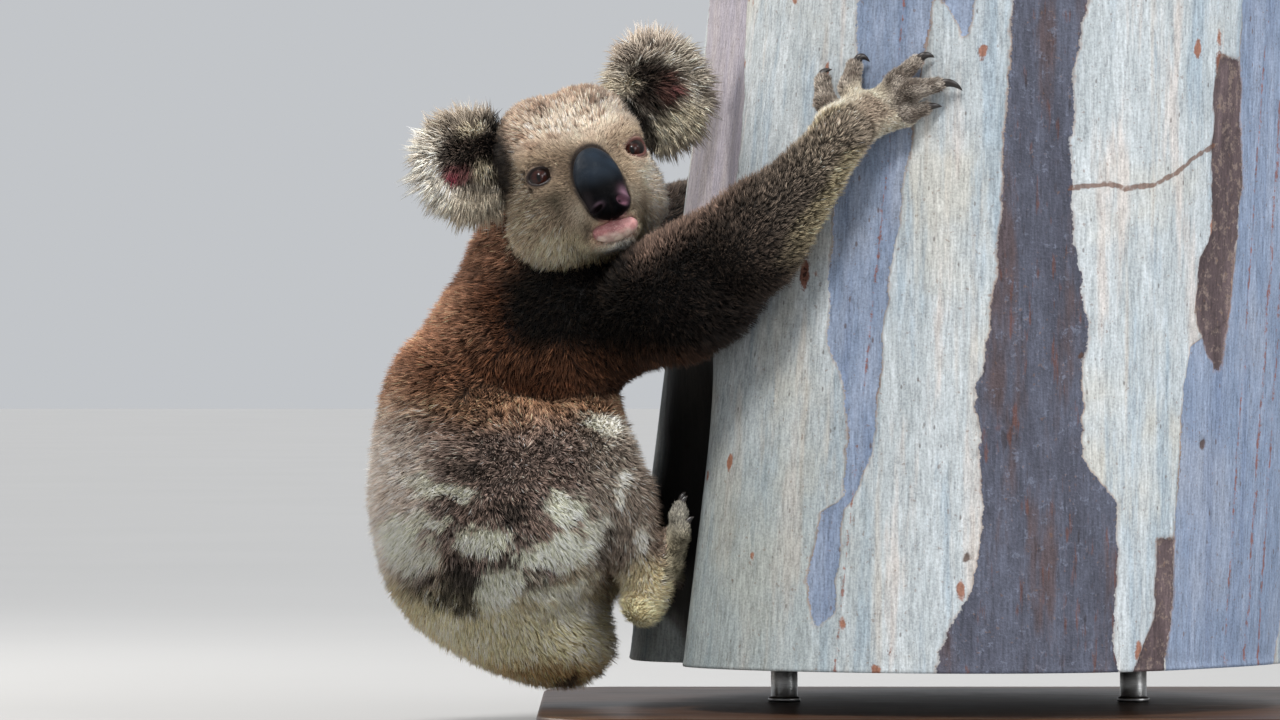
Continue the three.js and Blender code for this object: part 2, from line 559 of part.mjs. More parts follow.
// knee and ankle, on the legs once the hips have freed them
let pieces = flesh.decompose().filter((p) => p.volume() > 500);
const parts = new Map();
const keep = (name, s) => parts.set(name, s);
keep("neck", holding(pieces, [-306, -40, 440]));
keep("thorax", holding(pieces, body(10, 0, 350)));
keep("rump", holding(pieces, body(-30, 0, 170)));
for (const [side, s] of [["r", 1], ["l", -1]]) {
  keep("upperarm_" + side, holding(pieces, side === "r" ? [-225, -195, 392] : [-308, 72, 398]));
  keep("forearm_" + side, holding(pieces, side === "r" ? [-145, -255, 458] : [-225, 160, 448]));
  let leg = holding(pieces, body(-10, s * 90, 190));
  const set = s < 0 ? FAR_FOOT : [0, 0, 0];
  leg = leg
    .subtract(blade(body(57, s * 100, 178), V(F).add(V([0, 0, 0.14])).toArray(), R, 74, 240))
    .subtract(blade(V(body(88, s * 94, 146)).add(V(set).multiplyScalar(0.8)).toArray(), V(F).multiplyScalar(0.9).add(V([0, 0, -0.42])).toArray(), R, 130, 156));
  const legPieces = leg.decompose();
  keep("thigh_" + side, holding(legPieces, body(-10, s * 90, 190)));
  keep("shank_" + side, holding(legPieces, body(76, s * 92, 200)));
  // hands and feet are meshed again, finer, and cut on the same planes
  const hand = solid(meshOf(handField, boxAround([wristAt[side], onBark(side, 0, 15, 15), onBark(side, 66, 20, 10), onBark(side, -50, 30, 10)], side === "l" ? 37 : 34), HAND_CELL))
    .subtract(trunkFat)
    .subtract(blade(wristAt[side], wristDir[side], [0, 0, 1], 160, 160));
  keep("hand_" + side, holding(hand.decompose(), onBark(side, 4, -2, 15)));
  const footBox = boxAround([body(92, s * 92, 112), body(118, s * 100, 190)], 30);
  footBox.translate(V(set));
  const foot = solid(meshOf(footField, footBox, FOOT_CELL))
    .subtract(trunkFat)
    .subtract(blade(V(body(88, s * 94, 146)).add(V(set).multiplyScalar(0.8)).toArray(), V(F).multiplyScalar(0.9).add(V([0, 0, -0.42])).toArray(), R, 190, 220))
    .subtract(blade(body(57, s * 100, 178), V(F).add(V([0, 0, 0.14])).toArray(), R, 174, 240))
    .subtract(blade(body(60, s * 66, 150), R, F, 300, 250));
  keep("foot_" + side, holding(foot.decompose(), V(body(104, s * 96, 138)).add(V(set)).toArray()));
}

// claws: short horns, curved down to the bark, seated on their digits
function hornGeometry(path, r) {
  const curve = new THREE.QuadraticBezierCurve3(...path), sides = 5, rings = 3, pos = [], index = [];
  const normal = V([0, 0, 1]).cross(path[2].clone().sub(path[0])).normalize();
  for (let i = 0; i < rings; i++) {
    const t = i / rings, p = curve.getPoint(t), tan = curve.getTangent(t), b = tan.clone().cross(normal).normalize();
    const n2 = b.clone().cross(tan), w = r * (1 - 0.78 * t * t - 0.1 * t);
    for (let j = 0; j < sides; j++) {
      const a = (2 * Math.PI * j) / sides;
      pos.push(...p.clone().addScaledVector(n2, 0.8 * w * Math.cos(a)).addScaledVector(b, w * Math.sin(a)).toArray());
    }
  }
  pos.push(...curve.getPoint(1).toArray(), ...curve.getPoint(0).toArray());
  const tip = rings * sides, root = tip + 1;
  for (let i = 0; i < rings - 1; i++)
    for (let j = 0; j < sides; j++) {
      const a = i * sides + j, b = i * sides + ((j + 1) % sides);
      index.push(a, b, a + sides, b, b + sides, a + sides);
    }
  for (let j = 0; j < sides; j++) {
    const k = (j + 1) % sides;
    index.push((rings - 1) * sides + j, (rings - 1) * sides + k, tip, k, j, root);
  }
  const g = new THREE.BufferGeometry();
  g.setAttribute("position", new THREE.Float32BufferAttribute(pos, 3));
  g.setIndex(index);
  return g;
}

// ------------------------------------------------------------------ materials and the scene graph
const mat = (color, roughness, metalness = 0) => new THREE.MeshStandardMaterial({ color, roughness, metalness });
const FUR_BROWN = mat(0x5d4536, 0.95),
  FUR_GREY = mat(0x857668, 0.95),
  FUR_PALE = mat(0xb9ad94, 0.95),
  NOSE = mat(0x17181c, 0.45),
  LIP = mat(0xb98a86, 0.5),
  CLAW = mat(0x1a1614, 0.4),
  EYEBALL = mat(0x2a140e, 0.1),
  BARK = mat(0xb4bcc4, 0.8),
  STEEL = mat(0xb8babc, 0.35, 1),
  TIMBER = mat(0x4a3324, 0.5);
const koala = new THREE.Group();
const add = (name, geometry, material) => {
  const m = new THREE.Mesh(geometry, material);
  m.name = name;
  koala.add(m);
};
add("stand_base", geometryOf(solid(baseGeometry())), TIMBER);
add("stand_rod_a", geometryOf(solid(rod(-ROD_SPREAD))), STEEL);
add("stand_rod_b", geometryOf(solid(rod(ROD_SPREAD))), STEEL);
add("perch_trunk", geometryOf(trunk), BARK);
add("head", geometryOf(headSolid), FUR_GREY);
add("nose_pad", geometryOf(solid(noseGeometry)), NOSE);
add("lower_lip", geometryOf(largest(solid(lipGeometry(0)).subtract(noseFat))), LIP);
add("eye_r", geometryOf(solid(eyeGeometry(-1, EYE.r))), EYEBALL);
add("eye_l", geometryOf(solid(eyeGeometry(1, EYE.r))), EYEBALL);
for (const e of EARS) add(e.name, geometryOf(largest(solid(earGeometry(e)).subtract(headFat).subtract(trunkFat))), FUR_PALE);
for (const [name, s] of parts)
  add(name, geometryOf(s), /rump|thigh|shank|foot/.test(name) ? FUR_GREY : FUR_BROWN);
for (const c of claws) {
  const owner = parts.get((c.name.includes("hand") ? "hand_" : "foot_") + c.name.at(-2));
  const horn = solid(hornGeometry(c.path, c.r)).subtract(solid(fatter(geometryOf(owner), GAP))).subtract(trunkFat);
  add(c.name, geometryOf(largest(horn)), CLAW);
}

export default koala;
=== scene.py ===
import math

import bmesh
import bpy
import numpy as np
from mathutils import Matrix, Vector, kdtree


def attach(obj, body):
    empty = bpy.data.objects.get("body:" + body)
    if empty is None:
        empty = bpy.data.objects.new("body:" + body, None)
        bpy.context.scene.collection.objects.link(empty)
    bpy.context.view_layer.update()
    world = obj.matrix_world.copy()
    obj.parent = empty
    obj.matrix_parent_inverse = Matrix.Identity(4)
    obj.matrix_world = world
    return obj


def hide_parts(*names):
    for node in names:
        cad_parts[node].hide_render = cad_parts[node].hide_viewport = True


# A koala clinging to a short length of smooth gum trunk. Lengths are millimetres until a
# mesh is made. The animal is the same set of named round volumes that the part is made of:
# its skin lies inside them by the depth of the coat, and the coat stands on the skin.
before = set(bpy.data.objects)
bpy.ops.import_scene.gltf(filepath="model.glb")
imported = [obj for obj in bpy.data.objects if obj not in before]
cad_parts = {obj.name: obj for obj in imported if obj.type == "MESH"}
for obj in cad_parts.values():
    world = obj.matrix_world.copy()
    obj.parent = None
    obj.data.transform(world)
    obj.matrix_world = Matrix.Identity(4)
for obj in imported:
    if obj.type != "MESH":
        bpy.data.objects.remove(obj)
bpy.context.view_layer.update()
rng = np.random.default_rng(20240607)
rad = math.radians


def A(*x):
    return np.array(x, float)


def unit(v):
    return v / np.maximum(np.linalg.norm(v, axis=-1, keepdims=True), 1e-9)


def smooth(x, a, b):
    t = np.clip((x - a) / (b - a), 0, 1)
    return t * t * (3 - 2 * t)


# ------------------------------------------------------------------ frames
F = A(math.cos(rad(10)), math.sin(rad(10)), 0)  # forwards, to the belly
R = A(math.sin(rad(10)), -math.cos(rad(10)), 0)  # to the animal's right
UP = A(0, 0, 1)
OB = A(-376, -68, 0)


def body(f, r, z):
    return OB + F * f + R * r + UP * z


def to_body(P):
    d = P - OB
    return np.stack([d @ F, d @ R, P[..., 2]], -1)


def head_frame(roll, yaw, pitch):
    a, u, c = A(math.cos(roll), 0, math.sin(roll)), A(-math.sin(roll), 0, math.cos(roll)), A(0, -1, 0)
    c2, a2 = c * math.cos(yaw) + a * math.sin(yaw), a * math.cos(yaw) - c * math.sin(yaw)
    return a2, u * math.cos(pitch) - c2 * math.sin(pitch), c2 * math.cos(pitch) + u * math.sin(pitch)


HA, HU, HC = head_frame(rad(17), rad(13), rad(5))
HB = np.stack([HA, HU, HC])
HEAD_AT = A(-317.43, -172, 483.38)  # between the eyes


def head(a, u, c):
    return HEAD_AT + HA * a + HU * u + HC * c


def to_head(P):
    return (P - HEAD_AT) @ HB.T


def spine(deg):
    return A(math.sin(rad(deg)), 0, -math.cos(rad(deg)))


# ------------------------------------------------------------------ the trunk's outline
Z0, Z1, R0, R1, LEAN = 61.0, 631.0, 286.0, 269.0, 0.092


def trunk_radius(th, z):
    w = np.degrees(th) % 360
    f = smooth(-z, -360, -230)
    bell = lambda at, wide: np.exp(-0.5 * ((w - at) / wide) ** 2)
    groove = (10 + 30 * f) * np.where(w < 202.5, bell(202.5, 7.0), bell(202.5, 4.6))
    flute = groove + 6 * bell(318, 11) + 8 * bell(75, 12) + 6 * bell(140, 9)
    swell = 4 * bell(225, 9) * f + 3 * np.sin(np.radians(w * 3 + 20)) + 1.5 * np.sin(np.radians(w * 5 + 80))
    return R0 + (R1 - R0) * (z - Z0) / (Z1 - Z0) - flute + swell


def on_trunk(th, z, out=0.0):
    r = trunk_radius(th, z) + out
    return np.stack([LEAN * (z - Z0) + r * np.cos(th), r * np.sin(th), z + 0 * r], -1)


def trunk_clear(P):
    """How far a point is outside the bark, roughly, in mm."""
    x = P[..., 0] - LEAN * (P[..., 2] - Z0)
    th = np.arctan2(P[..., 1], x)
    return np.hypot(x, P[..., 1]) - trunk_radius(th, P[..., 2])


# ------------------------------------------------------------------ noise
def _hash(i, j, k, seed):
    h = (i * 374761393 + j * 668265263 + k * 2147483647 + seed * 974634777) & 0xFFFFFFFF
    h = ((h ^ (h >> 13)) * 1274126177) & 0xFFFFFFFF
    return ((h ^ (h >> 16)) & 0xFFFFFF) / float(0xFFFFFF)


def noise(P, size, seed=0):
    """Smooth noise from -1 to 1 with features about size mm across."""
    q = np.asarray(P, float) / size
    i = np.floor(q).astype(np.int64)
    f = q - i
    f = f * f * (3 - 2 * f)
    out = 0
    for a in (0, 1):
        for b in (0, 1):
            for c in (0, 1):
                w = (f[:, 0] if a else 1 - f[:, 0]) * (f[:, 1] if b else 1 - f[:, 1]) * (f[:, 2] if c else 1 - f[:, 2])
                out = out + w * _hash(i[:, 0] + a, i[:, 1] + b, i[:, 2] + c, seed)
    return 2 * out - 1


def rough(P, size, seed=0, octaves=3):
    s, amp, out = size, 1.0, 0
    for o in range(octaves):
        out = out + amp * noise(P, s, seed + 17 * o)
        s, amp = s / 2.1, amp * 0.55
    return out / 1.6


# ------------------------------------------------------------------ named volumes
VOLUMES = []


def ball(group, part, at, size, e1, e2, melt, coat, lie):
    x = unit(A(*e1))
    y = unit(A(*e2) - x * (x @ A(*e2)))
    VOLUMES.append(dict(group=group, part=part, at=A(*at), size=A(*size), axes=np.stack([x, y, np.cross(x, y)]),
                        melt=melt, coat=coat, lie=A(*lie)))


def limb(group, part, a, b, ra, rb, melt, coat, lie=None):
    a, b = A(*a), A(*b)
    VOLUMES.append(dict(group=group, part=part, a=a, b=b, ra=ra, rb=rb, melt=melt, coat=coat,
                        lie=unit(b - a) if lie is None else unit(A(*lie))))


DOWN = -UP
ball("upper", "thorax", body(22.6, 0, 363.4), (108, 102, 78.7), spine(-31.2), R, 20, 16, spine(-25))
ball("upper", "thorax", body(-25, 0, 327.6), (57.8, 96, 59), spine(-25), R, 30, 16, spine(-18))
ball("upper", "thorax", body(32.7, 0, 335), (76, 102, 65), spine(-5.7), R, 30, 14, spine(-4))
limb("upper", "neck", body(24.1, 0, 401.4), head(0, -12, -62), 66, 58, 30, 14, (-0.35, 0.1, -1))
ball("lower", "rump", body(-51.5, 0, 273.9), (81.7, 92, 70.2), spine(0), R, 30, 16, spine(-5))
ball("lower", "rump", body(-26.7, 0, 208.7), (103.7, 110, 106), spine(0), R, 30, 16, spine(6))
ball("lower", "rump", body(-13.6, 0, 162.9), (96.3, 108, 108.1), spine(26.6), R, 30, 16, spine(24))
ball("lower", "rump", body(11.1, 0, 95.7), (79.6, 80, 54.7), spine(64.5), R, 30, 14, spine(55))
ball("lower", "rump", body(44, 0, 266), (48, 97, 46), spine(0), R, 26, 12, spine(-5))
FAR_FOOT = A(-14, 4, 0)
TOES = [
    ([(113.5, 86, 144.7), (120, 80.5, 136), (123.5, 75.5, 131)], (9, 8, 6.5), None),
    ([(118.1, 92, 165.1), (120.1, 90, 183.5), (122, 89, 194.4)], (8, 6.5, 5.2), (125.3, 90, 202.8)),
    ([(117.6, 99, 167), (119.2, 100, 188.8), (120.2, 99, 197.2)], (8, 6.5, 5.2), (125.5, 98, 207.2)),
    ([(116.4, 106, 168.8), (117.3, 110, 187.3), (118.2, 110, 194.9)], (8.5, 8, 6.6), (125, 110, 204.1)),
    ([(115.6, 110, 162.2), (117.8, 117, 172.4), (120, 119, 178.3)], (8.5, 8, 6.4), (128.3, 120, 186.7)),
]
CLAWS = []
for side, s in (("r", 1), ("l", -1)):
    leg = lambda f, r, z, far=0.0: body(f, s * r, z) + (FAR_FOOT * far if s < 0 else 0)
    limb("lower", "thigh_" + side, leg(-14.3, 70.2, 189.9), leg(54.4, 91.3, 237.6), 85.2, 34.4, 40, 14,
         (0.45 * F[0], 0.45 * F[1], -0.9))
    limb("lower", "shank_" + side, leg(74.5, 93, 202.7), leg(94.1, 87, 124.3, 0.7), 31.4, 24.4, 26, 12)
    limb("lower", "foot_" + side, leg(90, 91.5, 111, 1), leg(108, 97, 148.5, 1), 19, 13.5, 14, 5)
    limb("lower", "foot_" + side, leg(110.5, 96, 148.5, 1), leg(117.3, 96, 166.9, 1), 15, 13, 10, 4)
    for n, (at, r, claw) in enumerate(TOES):
        p = [leg(*q, 1) for q in at]
        limb("lower", "toe_" + side, p[0], p[1], r[0], r[1], 6, 2.5)
        limb("lower", "toe_" + side, p[1], p[2], r[1], r[2], 6, 2.5)
        if claw:
            root, tip = p[2], leg(*claw, 1)
            CLAWS.append(("claw_foot_%s%d" % (side, n + 1),
                          [root + (tip - root) * 0.1, root + (tip - root) * 0.62 + A(-1.5, 0, 2), tip], 3.0))
HAND_AT = {"r": (rad(242.34), 522.7), "l": (rad(122), 512.0)}


def on_bark(side, s, t, out):
    return on_trunk(A(HAND_AT[side][0] + (1 if side == "r" else -1) * s / 262), A(HAND_AT[side][1] + t), out)[0]


limb("arms", "upperarm_r", (-313, -118, 340), (-218.1, -205, 379), 50, 52, 40, 14, (0.75, -0.45, -0.1))
limb("arms", "upperarm_r", (-246, -195, 370.8), (-177, -238, 433.9), 52.3, 33.9, 30, 14, (0.7, -0.3, 0.1))
limb("arms", "forearm_r", (-177.5, -240, 414.4), (-108.5, -270, 501.5), 44.4, 25, 24, 10, (0.6, -0.25, 0.55))
limb("arms", "upperarm_l", (-337, 0, 358.5), (-294, 98, 412), 61, 50, 40, 14, (0.35, 0.8, 0.1))
limb("arms", "forearm_l", (-293, 102, 413), on_bark("l", -4.5, -20.5, 26), 48, 21, 24, 10)
DIGITS = [
    ([(-16, -2, 15), (-34, 8.5, 13), (-41.5, 26, 8)], (10, 9.3, 8.2), [(-46, 35.5, 8), (-38, 36, 2)]),
    ([(-5, 4, 15), (-13, 20, 15), (-13, 37, 10)], (10, 9.2, 8.4), [(-9, 50.5, 10), (-4, 41.5, 2)]),
    ([(9, 6, 15), (25, 25, 14), (37.5, 40, 9)], (9.5, 8.8, 7.4), [(45, 49, 9), (50.5, 44, 2)]),
    ([(16, 2.5, 15), (40, 17, 16), (57.5, 21.5, 10)], (10, 9.2, 7.4), [(69, 25, 10), (75.5, 16.5, 2)]),
    ([(14, -4, 14), (35, -3, 12), (48.5, 2, 8)], (9, 8.5, 7), [(55, 5, 8), (60.5, 3.5, 2)]),
]
for side in ("r", "l"):
    limb("arms", "hand_" + side, on_bark(side, -11, -16, 23), on_bark(side, 4, -3, 15), 24, 18, 14, 4)
    limb("arms", "hand_" + side, on_bark(side, 4, -3, 15), on_bark(side, 32, -5, 10), 17, 9.5, 12, 3)
    limb("arms", "hand_" + side, on_bark(side, -4, -0.5, 14), on_bark(side, 16, -0.5, 14), 14, 13, 12, 3)
    for n, (at, r, claw) in enumerate(DIGITS):
        p = [on_bark(side, *q) for q in at]
        limb("arms", "digit_" + side, p[0], p[1], r[0], r[1], 6, 2.5)
        limb("arms", "digit_" + side, p[1], p[2], r[1], r[2], 6, 2.5)
        bend, tip = on_bark(side, *claw[0]), on_bark(side, *claw[1])
        CLAWS.append(("claw_hand_%s%d" % (side, n + 1), [p[2] + (bend - p[2]) * 0.2, bend, tip], 3.9))


def hball(part, at, size, melt, coat):
    ball("head", part, head(*at), size, HA, HU, melt, coat, DOWN)


hball("head", (0, 0, -84), (50, 50, 44), 20, 11)
hball("face", (0, -6, 0), (20, 30, 24), 18, 4)
for s in (-1, 1):
    hball("head", (s * 20, 16, -60), (47, 59, 60), 16, 9)
    hball("cheek", (s * 37, -34, -36), (30, 36, 40), 22, 9)
    hball("ruff", (s * 16 - 13, -40, -50), (46, 44, 42), 22, 12)
    hball("face", (s * 26, 18, -14), (27, 15, 17), 20, 5)
    hball("face", (s * 25, -24, -15), (25, 30, 24), 20, 5)
hball("face", (0, -40, 2), (32, 24, 30), 20, 4.5)
hball("chin", (0, -64, -2), (26, 14, 24), 14, 5)
NOSE = [((-1.5, -14, 18), (18, 23, 16), 6), ((-1, -27, 24), (19, 22, 15), 10), ((0, -42, 27), (16.5, 13, 13), 8)]
EYES = {"r": head(-41.5, 0, -9.5), "l": head(41.5, 0, -9.5)}
EYE_R = 10.5
EARS = [
    dict(name="r", at=(-84, 32, -61), wide=61.0, high=54.0, turn=-17.0),
    dict(name="l", at=(92.9, 46.5, -63.7), wide=50.0, high=58.5, turn=11.0),
]
GROUPS = [("upper", 0.0), ("lower", 16.0), ("arms", 30.0), ("head", 8.0)]
PARTS = sorted({v["part"] for v in VOLUMES})


def distance(v, P):
    if "size" in v:
        q = (P - v["at"]) @ v["axes"].T
        k0 = np.sqrt(((q / v["size"]) ** 2).sum(-1))
        k1 = np.sqrt(((q / v["size"] ** 2) ** 2).sum(-1))
        return k0 * (k0 - 1) / np.maximum(k1, 1e-9)
    a, b, ra, rb = v["a"], v["b"], v["ra"], v["rb"]
    ba = b - a
    l2 = ba @ ba
    rr = ra - rb
    a2, il2 = l2 - rr * rr, 1 / l2
    pa = P - a
    y = pa @ ba
    z = y - l2
    x2 = ((pa * l2 - y[..., None] * ba) ** 2).sum(-1)
    y2, z2, k = y * y * l2, z * z * l2, np.sign(rr) * rr * rr * x2
    d = (np.sqrt(x2 * a2 * il2) + y * rr) * il2 - ra
    far = np.sign(z) * a2 * z2 > k
    near = ~far & (np.sign(y) * a2 * y2 < k)
    d = np.where(far, np.sqrt(x2 + z2) * il2 - rb, d)
    return np.where(near, np.sqrt(x2 + y2) * il2 - ra, d)


def melt(a, b, k):
    if k <= 0:
        return np.minimum(a, b)
    h = np.maximum(k - np.abs(a - b), 0) / k
    return np.minimum(a, b) - h * h * k * 0.25


def reach(v, margin):
    m = margin + v["melt"]
    if "size" in v:
        e = np.sqrt(((v["axes"] * v["size"][:, None]) ** 2).sum(0))
        return v["at"] - e - m, v["at"] + e + m
    return np.minimum(v["a"] - v["ra"], v["b"] - v["rb"]) - m, np.maximum(v["a"] + v["ra"], v["b"] + v["rb"]) + m


BIG, MARGIN = 60.0, 26.0


def outer(P, more=False):
    """Distance to the coat's outer surface, negative inside. With more, also the coat's depth, the lie of the coat and the nearest part."""
    n = len(P)
    total = None
    depth, weight, lie = np.zeros(n), np.zeros(n) + 1e-12, np.zeros((n, 3))
    best, part = np.full(n, BIG), np.zeros(n, int)
    for group, k in GROUPS:
        D = np.full(n, BIG)
        for v in VOLUMES:
            if v["group"] != group:
                continue
            lo, hi = reach(v, MARGIN)
            m = np.flatnonzero(((P > lo) & (P < hi)).all(1))
            if not len(m):
                continue
            d = distance(v, P[m])
            D[m] = melt(D[m], d, v["melt"])
            if more:
                w = np.exp(-np.clip(d, -24, 50) / 6.0)
                depth[m] += w * v["coat"]
                weight[m] += w
                lie[m] += w[:, None] * v["lie"]
                closer = d < best[m]
                best[m[closer]] = d[closer]
                part[m[closer]] = PARTS.index(v["part"])
        total = D if total is None else melt(total, D, k)
    if more:
        return total, depth / weight, lie / weight[:, None], part
    return total


def nose_field(P):
    D = None
    for at, size, k in NOSE:
        q = to_head(P) - A(*at)
        s = A(*size)
        k0 = np.sqrt(((q / s) ** 2).sum(-1))
        d = k0 * (k0 - 1) / np.maximum(np.sqrt(((q / s**2) ** 2).sum(-1)), 1e-9)
        D = d if D is None else melt(D, d, k)
    return D


# ------------------------------------------------------------------ the skin
LIP_AT, LIP_SIZE = A(1, -62, 14.5), A(20, 10.5, 12)
# folds and swellings of the face: (points in head coordinates, width, how deep; below 0 raises)
FOLDS = [
    ([(22.5, -46, 14), (25.5, -53, 13), (27, -62, 6)], 2.4, 2.6),  # corner of the mouth, the animal's left
    ([(-20, -53, 16), (-25, -58, 12), (-29, -64, 4)], 3.2, 4.2),  # open corner of the mouth, its right
    ([(-20, -52, 17), (0, -55, 24), (20, -49, 17)], 2.4, 2.0),  # between the lips
    ([(-30, -9, 6), (-41, -14.5, 3), (-52, -10, -4)], 1.6, 0.9),  # under the right eye
    ([(30, -9, 6), (41, -14.5, 3), (52, -10, -4)], 1.6, 1.0),
    ([(-26, -4, 8), (-22, -22, 12), (-23, -38, 12)], 3.5, 1.6),  # beside the nose
    ([(26, -4, 8), (22, -22, 12), (23, -38, 12)], 3.5, 1.6),
    ([(-32, 12.5, 2), (-42, 14.5, 0), (-52, 9, -6)], 4.0, -2.0),  # brows
    ([(32, 12.5, 2), (42, 14.5, 0), (52, 9, -6)], 4.0, -2.0),
    ([(0, 14, 6), (0, 34, -2), (0, 56, -16)], 7.0, 1.3),  # middle of the forehead
    ([(-15, -75, 8), (0, -77, 10), (14, -75, 8)], 6.0, -1.5),  # the chin swells up to the lip
]


def to_line(Q, pts):
    best = np.full(len(Q), 1e9)
    for a, b in zip(pts[:-1], pts[1:]):
        a, b = A(*a), A(*b)
        t = np.clip(((Q - a) @ (b - a)) / ((b - a) @ (b - a)), 0, 1)
        best = np.minimum(best, np.linalg.norm(Q - a - t[:, None] * (b - a), axis=1))
    return best


def lip_distance(P):
    q = to_head(P) - LIP_AT
    k0 = np.sqrt(((q / LIP_SIZE) ** 2).sum(-1))
    return k0 * (k0 - 1) / np.maximum(np.sqrt(((q / LIP_SIZE**2) ** 2).sum(-1)), 1e-9)


OUTLOOK = {"r": unit(HC * 0.95 - HA * 0.20 + HU * 0.03), "l": unit(HC * 0.9 + HA * 0.40 + HU * 0.04)}


def eye_axes(side):
    o = OUTLOOK[side]
    x = unit(HA - o * (HA @ o))
    y = np.cross(o, x)
    return x, (y if y @ HU > 0 else -y), o


def bareness(P):
    """1 where the coat has its full depth, towards 0 on the bare places of the face."""
    f = np.ones(len(P))
    near = np.linalg.norm(P - head(0, -20, 0), axis=1) < 110
    Q = P[near]
    if len(Q):
        g = np.ones(len(Q))
        for e in EYES.values():
            g *= 0.25 + 0.75 * smooth(np.linalg.norm(Q - e, axis=1), 11.5, 20)
        g *= 0.3 + 0.7 * smooth(nose_field(Q), 0.3, 7)
        g *= 0.25 + 0.75 * smooth(lip_distance(Q), 1, 8)
        q = to_head(Q)
        g *= 1 - 0.6 * np.exp(-((q[:, 0] + 1) / 20) ** 4 - ((q[:, 1] + 68) / 9) ** 4) * smooth(q[:, 2], -4, 6)
        f[near] = g
    return f


def skin_field(P):
    D, depth, lie, part = outer(P, True)
    d = D + 0.74 * depth * bareness(P)
    near = np.flatnonzero(np.linalg.norm(P - head(0, -10, -10), axis=1) < 105)
    if len(near):
        Q = to_head(P[near])
        add = np.zeros(len(Q))
        for pts, wide, deep in FOLDS:
            add += deep * np.exp(-((to_line(Q, pts) / wide) ** 2))
        for e in EYES.values():  # the rim of the socket stands up round the ball
            r = np.linalg.norm(P[near] - e, axis=1)
            add -= 1.8 * np.exp(-(((r - 13.5) / 4.0) ** 2))
        d[near] += add
        carve = np.full(len(Q), -60.0)
        for side, e in EYES.items():  # the socket: a shallow bowl that the ball and the lids fill
            x, y, o = eye_axes(side)
            q = P[near] - e
            r = np.sqrt((q @ x / 16.5) ** 2 + (q @ y / 12.6) ** 2 + ((q @ o - 15.0) / 12.3) ** 2)
            carve = np.maximum(carve, (1 - r) * 12.0)
            carve = np.maximum(carve, 9.9 - np.linalg.norm(q, axis=1))
        d[near] = -melt(-d[near], -carve, 3.0)
        d[near] += 3.6 * smooth(-lip_distance(P[near]), -1.6, 1.2)
    c = 1.3 - trunk_clear(P)
    return -melt(-d, -c, 2.5), D, depth, lie, part


def gradient(f, P, e=0.7):
    g = np.empty_like(P)
    for j in range(3):
        o = np.zeros(3)
        o[j] = e
        g[:, j] = f(P + o) - f(P - o)
    return g / (2 * e)


def grid_skin(h):
    lo = A(-512, -322, 22)
    n = np.ceil((A(-22, 262, 622) - lo) / h).astype(int)
    total = None
    dw, ww = np.zeros(n, np.float32), np.full(n, 1e-9, np.float32)
    for group, k in GROUPS:
        D = np.full(n, BIG, np.float32)
        for v in VOLUMES:
            if v["group"] != group:
                continue
            a, b = reach(v, MARGIN)
            i0 = np.maximum(np.floor((a - lo) / h).astype(int), 0)
            i1 = np.minimum(np.ceil((b - lo) / h).astype(int) + 1, n)
            if (i1 <= i0).any():
                continue
            G = np.stack(np.meshgrid(*[lo[j] + h * np.arange(i0[j], i1[j]) for j in range(3)], indexing="ij"), -1)
            d = distance(v, G).astype(np.float32)
            s = tuple(slice(i0[j], i1[j]) for j in range(3))
            D[s] = melt(D[s], d, v["melt"])
            w = np.exp(-np.clip(d, -24, 50) / 6.0)
            dw[s] += w * v["coat"]
            ww[s] += w
        total = D if total is None else melt(total, D, k)
    S = total + np.where(ww > 1e-8, dw / ww, 8)
    band = np.argwhere((S < 14) & (S > -40))
    P = lo + h * band
    c = (1.3 - trunk_clear(P)).astype(np.float32)
    S[band[:, 0], band[:, 1], band[:, 2]] = np.maximum(S[band[:, 0], band[:, 1], band[:, 2]], c)
    return S, lo


def surface_nets(D, lo, h):
    n = np.array(D.shape)
    S = D < 0
    sl = [(slice(0, -1), slice(1, None))[c] for c in (0, 1)]
    cnt = sum(S[sl[a], sl[b], sl[c]].astype(np.int8) for a in (0, 1) for b in (0, 1) for c in (0, 1))
    act = (cnt > 0) & (cnt < 8)
    ijk = np.argwhere(act)
    idx = np.full(act.shape, -1, np.int64)
    idx[act] = np.arange(len(ijk))
    off = np.array([[a, b, c] for c in (0, 1) for b in (0, 1) for a in (0, 1)])
    V = np.stack([D[ijk[:, 0] + o[0], ijk[:, 1] + o[1], ijk[:, 2] + o[2]] for o in off], 1).astype(float)
    acc, w = np.zeros((len(ijk), 3)), np.zeros(len(ijk))
    for a in range(8):
        for b in range(a + 1, 8):
            if np.abs(off[a] - off[b]).sum() != 1:
                continue
            m = (V[:, a] < 0) != (V[:, b] < 0)
            t = np.where(m, V[:, a] / np.where(m, V[:, a] - V[:, b], 1), 0)
            acc += np.where(m[:, None], off[a] + (off[b] - off[a]) * t[:, None], 0)
            w += m
    verts = lo + h * (ijk + acc / w[:, None])
    quads = []
    for ax in range(3):
        s0, s1 = [slice(None)] * 3, [slice(None)] * 3
        s0[ax], s1[ax] = slice(0, -1), slice(1, None)
        e = np.argwhere(S[tuple(s0)] != S[tuple(s1)])
        u, v = (ax + 1) % 3, (ax + 2) % 3
        e = e[(e[:, u] > 0) & (e[:, v] > 0) & (e[:, u] < n[u] - 1) & (e[:, v] < n[v] - 1)]

        def cell(du, dv):
            q = e.copy()
            q[:, u] -= du
            q[:, v] -= dv
            return idx[q[:, 0], q[:, 1], q[:, 2]]

        q = np.stack([cell(1, 1), cell(0, 1), cell(0, 0), cell(1, 0)], 1)
        inside = S[e[:, 0], e[:, 1], e[:, 2]]
        quads.append(np.where(inside[:, None], q, q[:, ::-1]))
    return verts, np.concatenate(quads)


